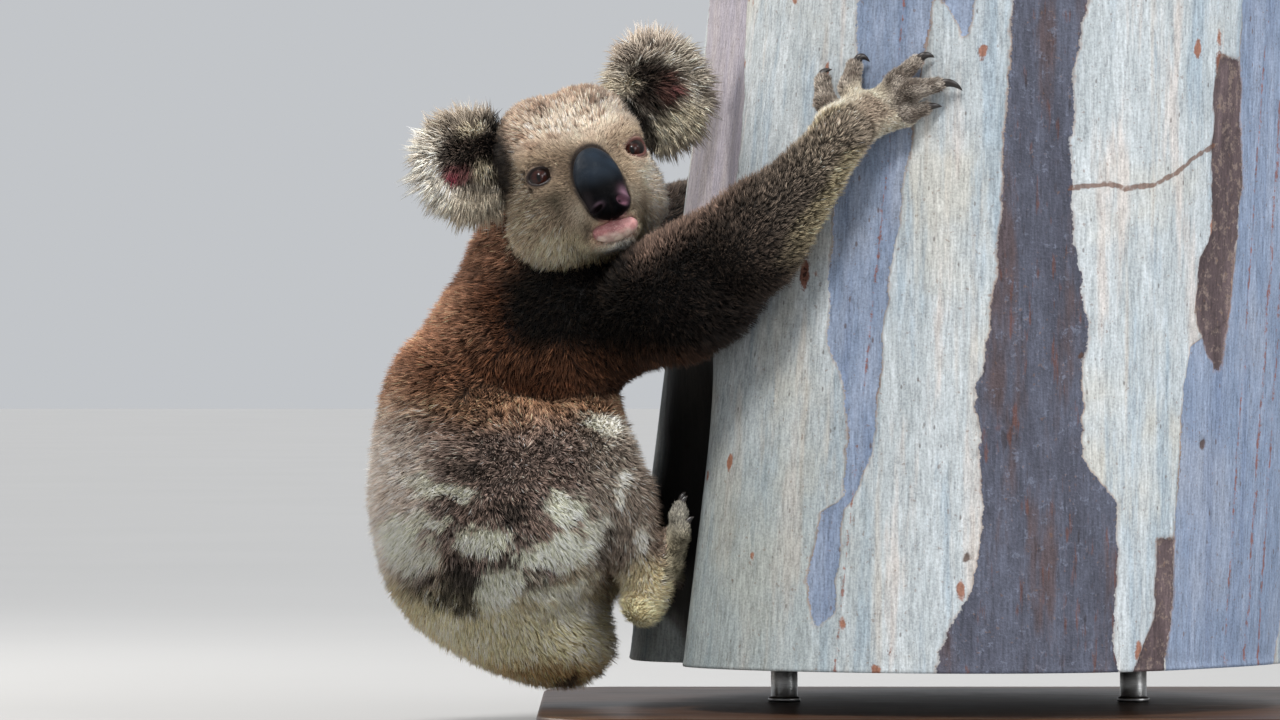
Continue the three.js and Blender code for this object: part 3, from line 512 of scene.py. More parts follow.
def largest_piece(V, Q):
    """The connected piece with the most faces."""
    label = np.arange(len(V))
    for _ in range(400):
        low = label[Q].min(1)
        new = label.copy()
        for j in range(Q.shape[1]):
            np.minimum.at(new, Q[:, j], low)
        new = new[new]
        if (new == label).all():
            break
        label = new
    ids, counts = np.unique(label[Q[:, 0]], return_counts=True)
    keep = label[Q[:, 0]] == ids[counts.argmax()]
    used = np.unique(Q[keep])
    back = np.full(len(V), -1)
    back[used] = np.arange(len(used))
    return V[used], back[Q[keep]]


def mesh_of(name, V, faces, scale=0.001):
    """faces is an (n, k) array, or a list of such arrays."""
    faces = faces if isinstance(faces, list) else [faces]
    me = bpy.data.meshes.new(name)
    me.vertices.add(len(V))
    me.vertices.foreach_set("co", (np.asarray(V, np.float64) * scale).astype(np.float32).ravel())
    loops = np.concatenate([f.ravel() for f in faces]).astype(np.int32)
    sizes = np.concatenate([np.full(len(f), f.shape[1]) for f in faces])
    starts = np.concatenate([[0], np.cumsum(sizes)[:-1]]).astype(np.int32)
    me.loops.add(len(loops))
    me.loops.foreach_set("vertex_index", loops)
    me.polygons.add(len(sizes))
    me.polygons.foreach_set("loop_start", starts)
    me.polygons.foreach_set("use_smooth", np.ones(len(sizes), bool))
    me.update(calc_edges=True)
    return me


def attribute(me, name, kind, data):
    a = me.attributes.new(name, kind, "POINT")
    key = {"FLOAT": "value", "FLOAT_VECTOR": "vector", "FLOAT_COLOR": "color"}[kind]
    a.data.foreach_set(key, np.asarray(data, np.float32).ravel())


def add_object(name, me, *mats):
    ob = bpy.data.objects.new(name, me)
    for m in mats:
        me.materials.append(m)
    bpy.context.scene.collection.objects.link(ob)
    return ob


def arrays_of(me):
    V = np.empty(len(me.vertices) * 3, np.float32)
    me.vertices.foreach_get("co", V)
    me.calc_loop_triangles()
    T = np.empty(len(me.loop_triangles) * 3, np.int32)
    me.loop_triangles.foreach_get("vertices", T)
    N = np.empty(len(me.vertices) * 3, np.float32)
    me.vertex_normals.foreach_get("vector", N)
    return V.reshape(-1, 3).astype(float) * 1000, T.reshape(-1, 3), N.reshape(-1, 3).astype(float)


def refine(me, choose):
    """Splits the edges whose middles choose() picks."""
    bm = bmesh.new()
    bm.from_mesh(me)
    mid = np.array([(e.verts[0].co + e.verts[1].co) * 500 for e in bm.edges])
    pick = choose(mid)
    bm.edges.ensure_lookup_table()
    edges = [bm.edges[i] for i in np.flatnonzero(pick)]
    bmesh.ops.subdivide_edges(bm, edges=edges, cuts=1, use_grid_fill=True)
    bmesh.ops.triangulate(bm, faces=[f for f in bm.faces if len(f.verts) > 4])
    bm.to_mesh(me)
    bm.free()


def near_any(P, spots):
    out = np.zeros(len(P), bool)
    for at, r in spots:
        out |= ((P - at) ** 2).sum(1) < r * r
    return out


CELL = 3.4
S, lo = grid_skin(CELL)
V, Q = surface_nets(S, lo, CELL)
V, Q = largest_piece(V, Q)
del S
skin_me = mesh_of("skin", V, Q)
finer = [(head(0, -18, 4), 68)]
for side in ("r", "l"):
    finer += [(on_bark(side, 2, 4, 12), 40), (on_bark(side, 44, 18, 8), 32), (on_bark(side, -30, 14, 8), 28),
              (on_bark(side, -8, 28, 8), 24)]
    s = 1 if side == "r" else -1
    finer += [(body(112, s * 97, 150) + (FAR_FOOT if s < 0 else 0), 34), (body(119, s * 100, 182) + (FAR_FOOT if s < 0 else 0), 30)]
refine(skin_me, lambda P: near_any(P, finer))
refine(skin_me, lambda P: near_any(P, [(EYES["r"], 21), (EYES["l"], 21), (head(0, -52, 14), 34)]))
V, T, N = arrays_of(skin_me)
for _ in range(3):
    f = lambda X: skin_field(X)[0]
    d = f(V)
    g = gradient(f, V)
    V -= np.clip(d, -3, 3)[:, None] * g / np.maximum((g * g).sum(1, keepdims=True), 0.25)
skin_me.vertices.foreach_set("co", (V * 0.001).astype(np.float32).ravel())
skin_me.update()


# ------------------------------------------------------------------ ears, lids
def ear_frame(e):
    t = rad(e["turn"])
    spin = lambda v: v * math.cos(t) - np.cross(HU, v) * math.sin(t) + HU * (HU @ v) * (1 - math.cos(t))
    return head(*e["at"]), spin(HA), HU, spin(HC)


EAR_PROFILE = [(0, -0.8), (0.35, -0.76), (0.62, -0.62), (0.84, -0.36), (0.96, -0.05), (1.0, 0.14), (0.97, 0.27),
               (0.88, 0.25), (0.76, 0.04), (0.58, -0.22), (0.36, -0.42), (0.15, -0.5), (0, -0.52)]
EAR_SHARE, EAR_THICK = 0.68, 17.0


def ear_mesh(e, rings=30, around=60):
    c, x, y, z = ear_frame(e)
    s = np.linspace(0, len(EAR_PROFILE) - 1, rings)
    pr = np.interp(s, range(len(EAR_PROFILE)), [p[0] for p in EAR_PROFILE])
    pd = np.interp(s, range(len(EAR_PROFILE)), [p[1] for p in EAR_PROFILE])
    phi = np.arange(around) * 2 * math.pi / around
    wob = 1 + 0.035 * np.sin(3 * phi + 1) + 0.025 * np.sin(5 * phi + e["turn"])
    out = []
    for k in range(1, rings - 1):
        for j in range(around):
            rr = pr[k] * EAR_SHARE * (1 + (wob[j] - 1) * pr[k])
            out.append(c + x * (rr * e["wide"] * math.cos(phi[j])) + y * (rr * e["high"] * math.sin(phi[j]))
                       + z * (pd[k] * EAR_THICK + 1.2 * math.sin(2 * phi[j]) * pr[k] ** 2))
    out.append(c + z * pd[0] * EAR_THICK)
    out.append(c + z * pd[-1] * EAR_THICK)
    n = rings - 2
    T = []
    for k in range(n - 1):
        for j in range(around):
            a, b = k * around + j, k * around + (j + 1) % around
            T += [(a, b, b + around), (a, b + around, a + around)]
    for j in range(around):
        k = (j + 1) % around
        T += [(n * around, k, j), (n * around + 1, (n - 1) * around + j, (n - 1) * around + k)]
    ring = np.concatenate([np.repeat(pr[1:-1] * np.where(np.arange(1, rings - 1) > rings * 0.45, -1, 1), around), [0, -0.01]])
    ph = np.concatenate([np.tile(phi, n), [0, 0]])
    return np.array(out), np.array(T)[:, ::-1], ring, ph


CAM = A(-274, -6068, 318)
GAZE = {k: unit(CAM - e) for k, e in EYES.items()}
GAZE["r"] = unit(GAZE["r"] + HA * -0.06 + HU * 0.03)
OPENING = {"r": (9.2, 6.9), "l": (9.2, 6.9)}


def lid_mesh(side, around=72):
    e = EYES[side]
    x, y, o = eye_axes(side)
    a, b = OPENING[side]
    rows = [(-1.5, 10.2), (0.0, 10.75), (1.5, 11.6), (5.5, 12.15), (12, 12.35), (20, 12.2), (30, 11.8), (42, 11.0), (56, 9.6)]
    inner = 1 if side == "r" else -1  # towards the nose
    V = []
    for da, r in rows:
        for j in range(around):
            t = 2 * math.pi * j / around
            ct, st = math.cos(t), math.sin(t)
            corner = 1 + 0.10 * max(0, ct * inner) ** 8  # tear corner
            up = b * (0.97 if st > 0 else 0.9)
            rr = 1 / math.sqrt((ct / (a * corner)) ** 2 + (st / up) ** 2)
            al = math.asin(min(rr / 10.6, 0.97)) + rad(da)
            heavy = 0.5 * max(0, st) * math.exp(-((da - 8) / 9) ** 2)  # the upper lid is thicker
            V.append(e + (o * math.cos(al) + (x * ct + y * st) * math.sin(al)) * (r + heavy))
    T = []
    n = around
    for k in range(len(rows) - 1):
        for j in range(n):
            p, q = k * n + j, k * n + (j + 1) % n
            T += [(p, q, q + n), (p, q + n, p + n)]
    V, T = np.array(V), np.array(T)
    nrm = np.cross(V[T[0, 1]] - V[T[0, 0]], V[T[0, 2]] - V[T[0, 0]])
    if nrm @ (V[T[0, 0]] - e) < 0:
        T = T[:, ::-1]
    return V, T, np.repeat([r[0] for r in rows], n)


base_count = len(V)
sheets = [(V, T)]
ear_info, lid_info = [], []
n0 = len(V)
for e in EARS:
    ev, et, ring, ph = ear_mesh(e)
    sheets.append((ev, et + n0))
    ear_info.append((n0, len(ev), ring, ph, e))
    n0 += len(ev)
for side in ("r", "l"):
    lv, lt, row = lid_mesh(side)
    sheets.append((lv, lt + n0))
    lid_info.append((n0, len(lv), row, side))
    n0 += len(lv)
V = np.concatenate([s[0] for s in sheets])
T = np.concatenate([s[1] for s in sheets])
bpy.data.meshes.remove(skin_me)
skin_me = mesh_of("skin", V, T)
V, T, N = arrays_of(skin_me)
D_OUT, DEPTH, LIE, PART = outer(V, True)
PARTS += ["ear_back", "ear_rim", "ear_in", "lid"]
ear_side = np.zeros(len(V), int)
for n0, n, ring, ph, e in ear_info:
    PART[n0:n0 + n] = np.where(ring > 0.9, PARTS.index("ear_rim"), np.where(ring > 0, PARTS.index("ear_back"),
                               np.where(ring < -0.86, PARTS.index("ear_rim"), PARTS.index("ear_in"))))
    ear_side[n0:n0 + n] = -1 if e["name"] == "r" else 1
for n0, n, row, side in lid_info:
    PART[n0:n0 + n] = PARTS.index("lid")


# ------------------------------------------------------------------ colours and markings
def srgb(*c):
    c = np.array(c, float) / 255
    return np.where(c <= 0.04045, c / 12.92, ((c + 0.055) / 1.055) ** 2.4)


# blotches of the flank, seen from the side: (forwards, up, half-length, half-height, tilt in degrees, strength)
CREAM = [
    ("knee", 56, 262, 17, 9, -32, 1.0), ("knee_front", 67, 211, 6, 15, -8, 0.9), ("shin", 84, 167, 6, 14, -4, 0.8),
    ("haunch_a", 15, 193, 20, 14, -20, 0.9), ("haunch_b", 12, 159, 36, 15, 8, 1.0), ("haunch_c", 45, 178, 11, 15, 0, 0.7),
    ("haunch_d", -51, 165, 18, 14, 0, 0.95), ("haunch_e", -34, 127, 17, 16, 20, 0.95), ("back_a", -81, 210, 22, 7, 4, 0.75),
    ("back_b", -93, 184, 15, 7, 0, 0.7), ("edge", -112, 168, 14, 16, 0, 0.95), ("edge_low", -100, 152, 15, 15, 0, 0.7),
    ("under", 18, 124, 26, 9, 0, 0.6), ("under_b", 30, 108, 34, 8, 0, 0.45), ("back_c", -98, 214, 10, 8, 0, 0.5),
]
BLACK = [
    ("low", -64, 128, 19, 22, 25, 1.0), ("mid", -30, 192, 13, 15, 0, 0.9), ("bar", -30, 152, 20, 7, 5, 0.85),
    ("high", -63, 227, 17, 12, -20, 0.6), ("front", 50, 165, 9, 22, -10, 0.6), ("small", 0, 128, 14, 8, 0, 0.6),
    ("tail_spot", 36, 47, 13, 6, 25, 0.9), ("speck", 62, 176, 6, 6, 0, 0.7), ("back_low", -96, 128, 9, 9, 0, 0.45),
]


def blotch(table, B, warp, soft, seed):
    """How much of a point, in body coordinates, lies in the named blotches of a flank. The far flank has its own, a little shifted."""
    out = np.zeros(len(B))
    far = B[:, 1] < 0
    for n, (name, f, z, a, b, tilt, strength) in enumerate(table):
        df = np.where(far, 9 * math.sin(3.7 * n + seed), 0)
        dz = np.where(far, 8 * math.cos(2.9 * n + seed), 0)
        x, y = B[:, 0] - f - df + warp[:, 0], B[:, 2] - z - dz + warp[:, 1]
        c, s = math.cos(rad(tilt)), math.sin(rad(tilt))
        r = np.hypot((x * c + y * s) / a, (-x * s + y * c) / b)
        out = np.maximum(out, strength * smooth(-(r + soft), -1.22, -0.78))
    return out * smooth(np.abs(B[:, 1]), 4, 26)


def mix(a, b, t):
    t = np.clip(t, 0, 1)[:, None]
    return a * (1 - t) + b * t


ARM_LINES = {1: (A(-262, -160, 370), unit(A(0.62, -0.42, 0.56))), -1: (A(-318, 40, 381), unit(A(0.62, 0.62, 0.4)))}
# paint of the ears: towards the head, up, half-width, half-height in shares of the ear, colour, strength, only the inside
# the near-black patches towards the head are partly dark wool and partly painted shade where the ear meets the head;
# the dark inside of the bowl is partly dark hair and partly painted shade
EAR_PAINT = {
    "r": [(-0.75, 0.1, 0.5, 0.9, (238, 228, 212), 0.85, False), (0.05, 0.85, 0.7, 0.35, (160, 146, 130), 0.8, False), (-0.05, -0.75, 0.7, 0.35, (186, 172, 150), 0.7, False),
          (0.10, 0.16, 0.60, 0.44, (62, 46, 39), 0.9, True), (-0.22, -0.06, 0.27, 0.16, (132, 84, 84), 0.75, True), (-0.30, -0.10, 0.11, 0.08, (160, 72, 88), 0.8, True),
          (0.24, -0.12, 0.22, 0.2, (206, 192, 164), 0.8, True), (0.14, 0.52, 0.24, 0.13, (214, 200, 174), 0.85, True), (0.70, 0.0, 0.40, 1.0, (15, 10, 8), 0.97, False), (0.52, -0.35, 0.25, 0.5, (30, 22, 16), 0.8, False)],
    "l": [(-0.75, 0.0, 0.4, 0.8, (200, 190, 174), 0.75, False), (0.1, 0.85, 0.9, 0.38, (172, 158, 144), 0.85, False), (-0.1, -0.62, 0.6, 0.42, (206, 194, 168), 0.85, False),
          (0.10, 0.10, 0.50, 0.42, (48, 34, 28), 0.92, True), (-0.20, 0.0, 0.27, 0.24, (98, 64, 58), 0.65, True), (-0.24, -0.02, 0.12, 0.10, (134, 82, 82), 0.5, True),
          (0.62, 0.22, 0.36, 0.13, (214, 200, 176), 0.9, False),
          (0.78, -0.22, 0.4, 0.34, (18, 12, 9), 0.97, False), (0.45, -0.52, 0.2, 0.3, (28, 20, 15), 0.85, False)],
}


def tint(P, part, jitter):
    """Colour of the middle of the hair, linear, by place: P in mm, jitter a number from -1 to 1 for each point."""
    B, H = to_body(P), to_head(P)
    n = len(P)
    paint = lambda *c: np.tile(srgb(*c), (n, 1))
    f, r, z = B.T
    n1, n2, n3 = noise(P, 55, 3), rough(P, 22, 5), noise(P, 7, 11)
    col = paint(124, 84, 60)
    is_ = lambda *names: np.isin(part, [PARTS.index(q) for q in names])
    # upper body: rust on the back, near black from under the chin down into the arms, brown again above the fold. The
    # near black is partly dark fur and partly painted shade under the chin; the paler back is partly rusty fur and
    # partly a painted rim highlight.
    upper = is_("thorax", "neck", "upperarm_r", "upperarm_l", "forearm_r", "forearm_l")
    back = np.clip(smooth(-f, 8, 76) + (0.22 * n1 + 0.10 * n2 + 0.06 * n3) * smooth(-f, -10, 30), 0, 1)
    c_up = mix(paint(14, 8, 4), paint(80, 49, 32), smooth(back, 0.02, 0.48))
    c_up = mix(c_up, paint(164, 120, 94), smooth(back, 0.5, 1.0))
    c_up = mix(c_up, paint(112, 74, 52), 0.8 * smooth(-z - 6 * n2, -341, -314) * (1 - 0.7 * smooth(f, 28, 75)))
    c_up = mix(c_up, paint(136, 98, 76), 0.8 * smooth(z, 376, 408) * smooth(-f, 0, 28))
    # painted highlight: a pale rim along the lower back edge of the thorax
    c_up = mix(c_up, paint(186, 148, 122), 0.35 * smooth(-f, 88, 112) * smooth(-z, -340, -296))
    c_up = mix(c_up, paint(92, 70, 58), 0.42 * smooth(rough(P, 6, 91) + 0.5 * jitter, 0.05, 0.5) * smooth(back, 0.3, 0.7))
    # arms: dark at the root, greyer and paler to the wrist, brown along the top. The dark at the root is partly dark
    # fur and partly painted shade under the shoulder; the paler brown along the top is partly the fur's colour and
    # partly a painted highlight from above.
    arm, up = np.empty(n), np.empty(n)
    for side, (at, way) in ARM_LINES.items():
        m = (r > 0) if side > 0 else (r <= 0)
        q = P[m] - at
        arm[m] = np.clip(q @ way, 0, 260)
        up[m] = q @ unit(A(0, 0, 1) - way * way[2])
        if side > 0:
            up[m] -= np.interp(arm[m], (55, 118, 230), (-30, -33, -8))
    c_arm = mix(paint(26, 19, 15), paint(60, 50, 43), smooth(arm + 8 * n2, 70, 132))
    c_arm = mix(c_arm, paint(88, 78, 69), smooth(arm, 130, 185))
    c_arm = mix(c_arm, paint(126, 114, 100), smooth(arm + 6 * n2, 185, 228))
    c_arm = mix(c_arm, paint(112, 92, 81), 0.8 * smooth(up + 5 * n2, 14, 42) * smooth(-arm, -200, -50) * smooth(arm, 10, 60))
    off = up / np.interp(arm, (118, 230), (42, 22))
    edge = np.maximum(smooth(-off + 0.12 * n2, 0.72, 1.02) * smooth(arm, 118, 185), 0.6 * smooth(off, 0.6, 0.95) * smooth(arm, 185, 225))
    c_arm = mix(c_arm, paint(168, 154, 122), 0.7 * edge)
    on_arm = is_("upperarm_r", "upperarm_l", "forearm_r", "forearm_l") * smooth(arm, 0, 45)
    c_up = mix(c_up, c_arm, on_arm)
    col = np.where(upper[:, None], c_up, col)
    # haunches
    lower = is_("rump", "thigh_r", "thigh_l", "shank_r", "shank_l", "foot_r", "foot_l")
    c_lo = mix(paint(154, 118, 92), paint(138, 119, 109), smooth(-z, -282, -246) + 0.25 * n2)
    c_lo = mix(c_lo, paint(110, 99, 93), 0.65 * smooth(n2 + 0.3 * n3, 0.05, 0.5) * smooth(-z, -258, -235))
    # pale back edge of the haunch: partly pale fur, partly a painted rim highlight
    c_lo = mix(c_lo, paint(232, 214, 200), 0.85 * smooth(-f - 10 * n3 - 6 * n2, 78, 114) * smooth(z, 120, 150) * smooth(-z - 14 * n2, -305, -222))
    thigh = is_("thigh_r", "thigh_l", "shank_r", "shank_l") * smooth(f, 20, 50)
    c_lo = mix(c_lo, paint(158, 144, 130), 0.8 * thigh)
    c_lo = mix(c_lo, paint(150, 128, 112), 0.6 * thigh * smooth(f, 82, 100) * smooth(z, 135, 150))
    c_lo = mix(c_lo, paint(238, 224, 180), smooth(-z - 14 * n2 - 8 * n3, -150, -86))
    c_lo = mix(c_lo, paint(184, 134, 80), 0.8 * smooth(-z - 4 * n2, -74, -52) * (0.3 + 0.7 * smooth(f, -70, -20)))
    c_lo = mix(c_lo, paint(212, 186, 146), 0.6 * smooth(-np.abs(r), -40, -12) * smooth(-z, -150, -110))
    warp = np.stack([noise(P, 17, 21), noise(P, 17, 22)], 1) * 6.0 + np.stack([noise(P, 7, 23), noise(P, 7, 24)], 1) * 3.0
    soft = 0.34 * noise(P, 5.5, 31) + 0.30 * jitter
    cream, black = blotch(CREAM, B, warp, soft, 1.0), blotch(BLACK, B, -warp, soft, 2.0)
    c_lo = mix(c_lo, paint(42, 40, 36), 0.88 * black)
    c_cream = mix(paint(252, 252, 228), paint(255, 250, 234), smooth(f, 30, 60))
    c_lo = mix(c_lo, c_cream, 0.95 * cream)
    heel = smooth(-np.linalg.norm((B - A(92, 0, 120)) * A(1, 0, 0.8), axis=1), -34, -14) * is_("shank_r", "shank_l", "foot_r", "foot_l", "thigh_r", "thigh_l")
    c_lo = mix(c_lo, paint(232, 212, 168), 0.85 * heel)
    over = smooth(z + 9 * n2, 274, 304) * smooth(-f, 15, 60) * is_("rump")
    col = np.where(lower[:, None], mix(c_lo, c_up, over), col)
    waist = smooth(-z, -296, -280)[:, None]
    col = np.where(is_("thorax")[:, None], col * (1 - 0.5 * waist) + 0.5 * waist * c_lo, col)
    # belly and inner side of the limbs
    belly = smooth(f, 70, 100) * (is_("thorax") | is_("rump"))
    col = mix(col, paint(196, 184, 162), 0.8 * belly)
    # hands and feet
    hand, dig = is_("hand_r", "hand_l"), is_("digit_r", "digit_l", "toe_r", "toe_l")
    top = smooth(P[:, 2] - np.where(r > 0, 500, 492), -6, 24)
    hq = np.stack([(P[:, 0] + 92) * np.where(r > 0, 1, 0), P[:, 2] - 515], 1)
    across = np.abs(hq @ A(-0.62, 0.78))  # away from the middle line of the back of the hand
    c_hand = mix(paint(140, 122, 106), paint(222, 210, 188), 0.15 + 0.7 * smooth(across + 6 * n2, 5, 20) + 0.2 * jitter)
    col = np.where(hand[:, None], c_hand, col)
    c_dig = mix(paint(92, 80, 72), paint(186, 176, 164), 0.26 + 0.5 * n3 + 0.3 * jitter)
    reach_ = np.linalg.norm(P - np.where((r > 0)[:, None], on_bark("r", 5, 2, 15), on_bark("l", 5, 2, 15)), axis=1)
    c_dig = mix(paint(216, 204, 182), c_dig, smooth(reach_, 16, 32) * 0.85 + 0.1)
    col = np.where(dig[:, None], c_dig, col)
    c_foot = mix(paint(104, 98, 80), paint(170, 160, 136), 0.45 + 0.5 * n3)
    c_foot = mix(c_foot, paint(152, 150, 144), 0.6 * smooth(z + 4 * n3, 160, 190))
    col = np.where((is_("foot_r", "foot_l", "toe_r", "toe_l") & (z > 132))[:, None], c_foot, col)
    # head
    a, u, c = H.T
    spot = lambda a0, u0, ra, ru: np.exp(-((a - a0) / ra) ** 2 - ((u - u0) / ru) ** 2)
    hd = is_("head", "face", "cheek", "ruff", "chin")
    c_hd = paint(176, 156, 132)
    front = smooth(c, -75, -30)
    fore = smooth(u, 14, 34) * front
    c_hd = mix(c_hd, paint(202, 184, 166), 0.85 * fore + 0.2 * n2 * fore)
    c_hd = mix(c_hd, paint(144, 122, 106), 0.8 * smooth(u, 44, 62) * smooth(c, -110, -60))
    c_hd = mix(c_hd, paint(150, 122, 102), 0.6 * spot(-48, 40, 16, 16) * front)
    c_hd = mix(c_hd, paint(226, 208, 188), 0.8 * spot(8, 30, 26, 15) * front)
    c_hd = mix(c_hd, paint(140, 120, 101), 0.75 * (spot(-27, 2, 11, 15) + spot(27, 6, 8, 9)) * front)
    c_hd = mix(c_hd, paint(136, 121, 104), 0.65 * spot(-37, -30, 16, 13) * front)
    c_hd = mix(c_hd, paint(222, 206, 172), 0.85 * smooth(-u + 4 * n2, 42, 62) * smooth(c, -70, -30))
    # the animal's left cheek: pale cream fur, painted brighter still as painted light on a side the lamps reach little
    c_hd = mix(c_hd, paint(252, 230, 204), 0.9 * smooth(a + 3 * n2, 29, 46) * smooth(-u, -8, 12))
    c_hd = mix(c_hd, paint(136, 112, 96), 0.6 * spot(43, -10, 7, 8) * front)
    # under the jaw: yellow-brown hair, darkened as painted shade
    c_hd = mix(c_hd, paint(132, 104, 60), 0.75 * smooth(-u + 3 * n2, 66, 80) * smooth(-c, -20, 20))
    c_hd = mix(c_hd, paint(190, 170, 142), 0.6 * smooth(-a, 50, 62) * smooth(-u, 6, 30))
    muzzle = np.exp(-((np.abs(a) - 24) / 9) ** 2 - ((u + 42) / 13) ** 2) * smooth(c, -6, 6)
    c_hd = mix(c_hd, paint(216, 200, 178), 0.7 * muzzle)
    c_hd = mix(c_hd, paint(88, 76, 60), 0.6 * spot(-39, -21, 9, 5) * front)
    for s in (-1, 1):
        e = np.linalg.norm(P - EYES["r" if s < 0 else "l"], axis=1)
        c_hd = mix(c_hd, paint(128, 108, 94) if s < 0 else paint(186, 152, 138), 0.5 * smooth(-e, -16.5, -12.5))
    near_nose = np.clip(nose_field(P), 0, 40) / (1 + 0.7 * smooth(u, -8, 4))
    c_hd = mix(c_hd, paint(52, 39, 32), 0.92 * smooth(-near_nose, -5.5, -1.5) * smooth(u, -22, -8))
    c_hd = mix(c_hd, paint(92, 76, 64), 0.6 * smooth(-near_nose, -5.0, -1.5) * smooth(-u, 8, 22))
    fleck = smooth(rough(P, 7, 61) + 0.3 * jitter, 0.14, 0.42)
    c_hd = mix(c_hd, paint(66, 46, 36), 0.7 * (spot(-18, 57, 7, 5) + spot(27, 50, 13, 5)) * (1 - 0.5 * jitter))
    c_hd = mix(c_hd, paint(70, 66, 52), 0.55 * (spot(-38, -24, 7, 7) + 0.7 * spot(-38, -36, 4, 10) + 0.7 * spot(-54, -20, 7, 6)) * front)
    c_hd = mix(c_hd, paint(108, 78, 58), 0.65 * fleck * (fore + 0.35 * (1 - fore) * smooth(u, -10, 10)))
    for s in (-1, 1):  # dark wool and painted shade where the ear springs from the head
        d = np.linalg.norm((H - A(s * 64, 24 if s < 0 else 34, -50)) * A(1.15, 0.62, 0.8), axis=1)
        c_hd = mix(c_hd, paint(24, 17, 12), 0.95 * smooth(-d - 2 * n2, -28, -13))
    col = np.where(hd[:, None], c_hd, col)
    col = mix(col, paint(38, 29, 25), 0.95 * hd * smooth(-near_nose, -2.4, -1.2))
    # the bare pink below the lip, white hair under it
    pink = np.exp(-((a + 1) / 20) ** 4 - ((u + 64) / 10) ** 4) * (c > 2) * hd
    col = mix(col, mix(paint(186, 132, 118), paint(222, 164, 160), smooth(a, -12, 8) + 0.3 * n3), 0.92 * pink)
    col = mix(col, paint(250, 242, 224), 0.95 * spot(3, -77, 19, 6.5) * hd * (c > -10))
    # painted shade: near black in the open corner of the mouth on the animal's right, and a dark line in the crease at
    # its left corner
    corner = np.exp(-(to_line(H, [(-22, -56, 15), (-28, -63, 8)]) / 4.8) ** 2) * hd
    col = mix(col, paint(18, 12, 9), 0.96 * corner)
    corner = np.exp(-(to_line(H, [(20, -50, 15), (25, -60, 8)]) / 2.6) ** 2) * hd
    col = mix(col, paint(60, 42, 36), 0.8 * corner)
    # ears
    ears = is_("ear_back", "ear_rim", "ear_in")
    if ears.any():
        c_ear = mix(paint(158, 146, 130), paint(204, 194, 178), 0.5 + 0.6 * n2 + 0.25 * jitter)
        inn = is_("ear_in")
        for e in EARS:
            m = (a < 0) if e["name"] == "r" else (a > 0)
            ec, ex, ey, ez = ear_frame(e)
            s = 1 if e["name"] == "r" else -1
            x, y = (P - ec) @ ex / e["wide"] * s, (P - ec) @ ey / e["high"]
            c_e = c_ear
            for x0, y0, rx, ry, paint_, strength, inner in EAR_PAINT[e["name"]]:
                q = np.hypot((x - x0) / rx, (y - y0) / ry) + 0.18 * n3 + 0.15 * jitter
                c_e = mix(c_e, paint(*paint_), strength * smooth(-q, -1.25, -0.7) * (np.where(inn, 1.0, 0.35) if inner else 1.0))
            streak = smooth(noise(P * A(1, 1, 1), 5, 77), 0.15, 0.6)
            c_e = mix(c_e, paint(96, 82, 72), 0.45 * streak * (1 - inn))
            col = np.where((ears & m)[:, None], c_e, col)
    lids = is_("lid")
    if lids.any():
        for side, e in EYES.items():
            m = np.flatnonzero(lids & ((a < 0) if side == "r" else (a > 0)))
            ax_, ay_, o = eye_axes(side)
            a_, b_ = OPENING[side]
            d = unit(P[m] - e) * 10.6
            q = np.hypot(d @ ax_ / a_, d @ ay_ / b_) + (d @ o < 0)
            skin_ = np.tile(srgb(30, 19, 16) if side == "r" else srgb(96, 62, 56), (len(m), 1))
            col[m] = mix(skin_, c_hd[m], smooth(q, 1.03, 1.13 if side == "r" else 1.20))
    return np.clip(col, 0.0005, 1)


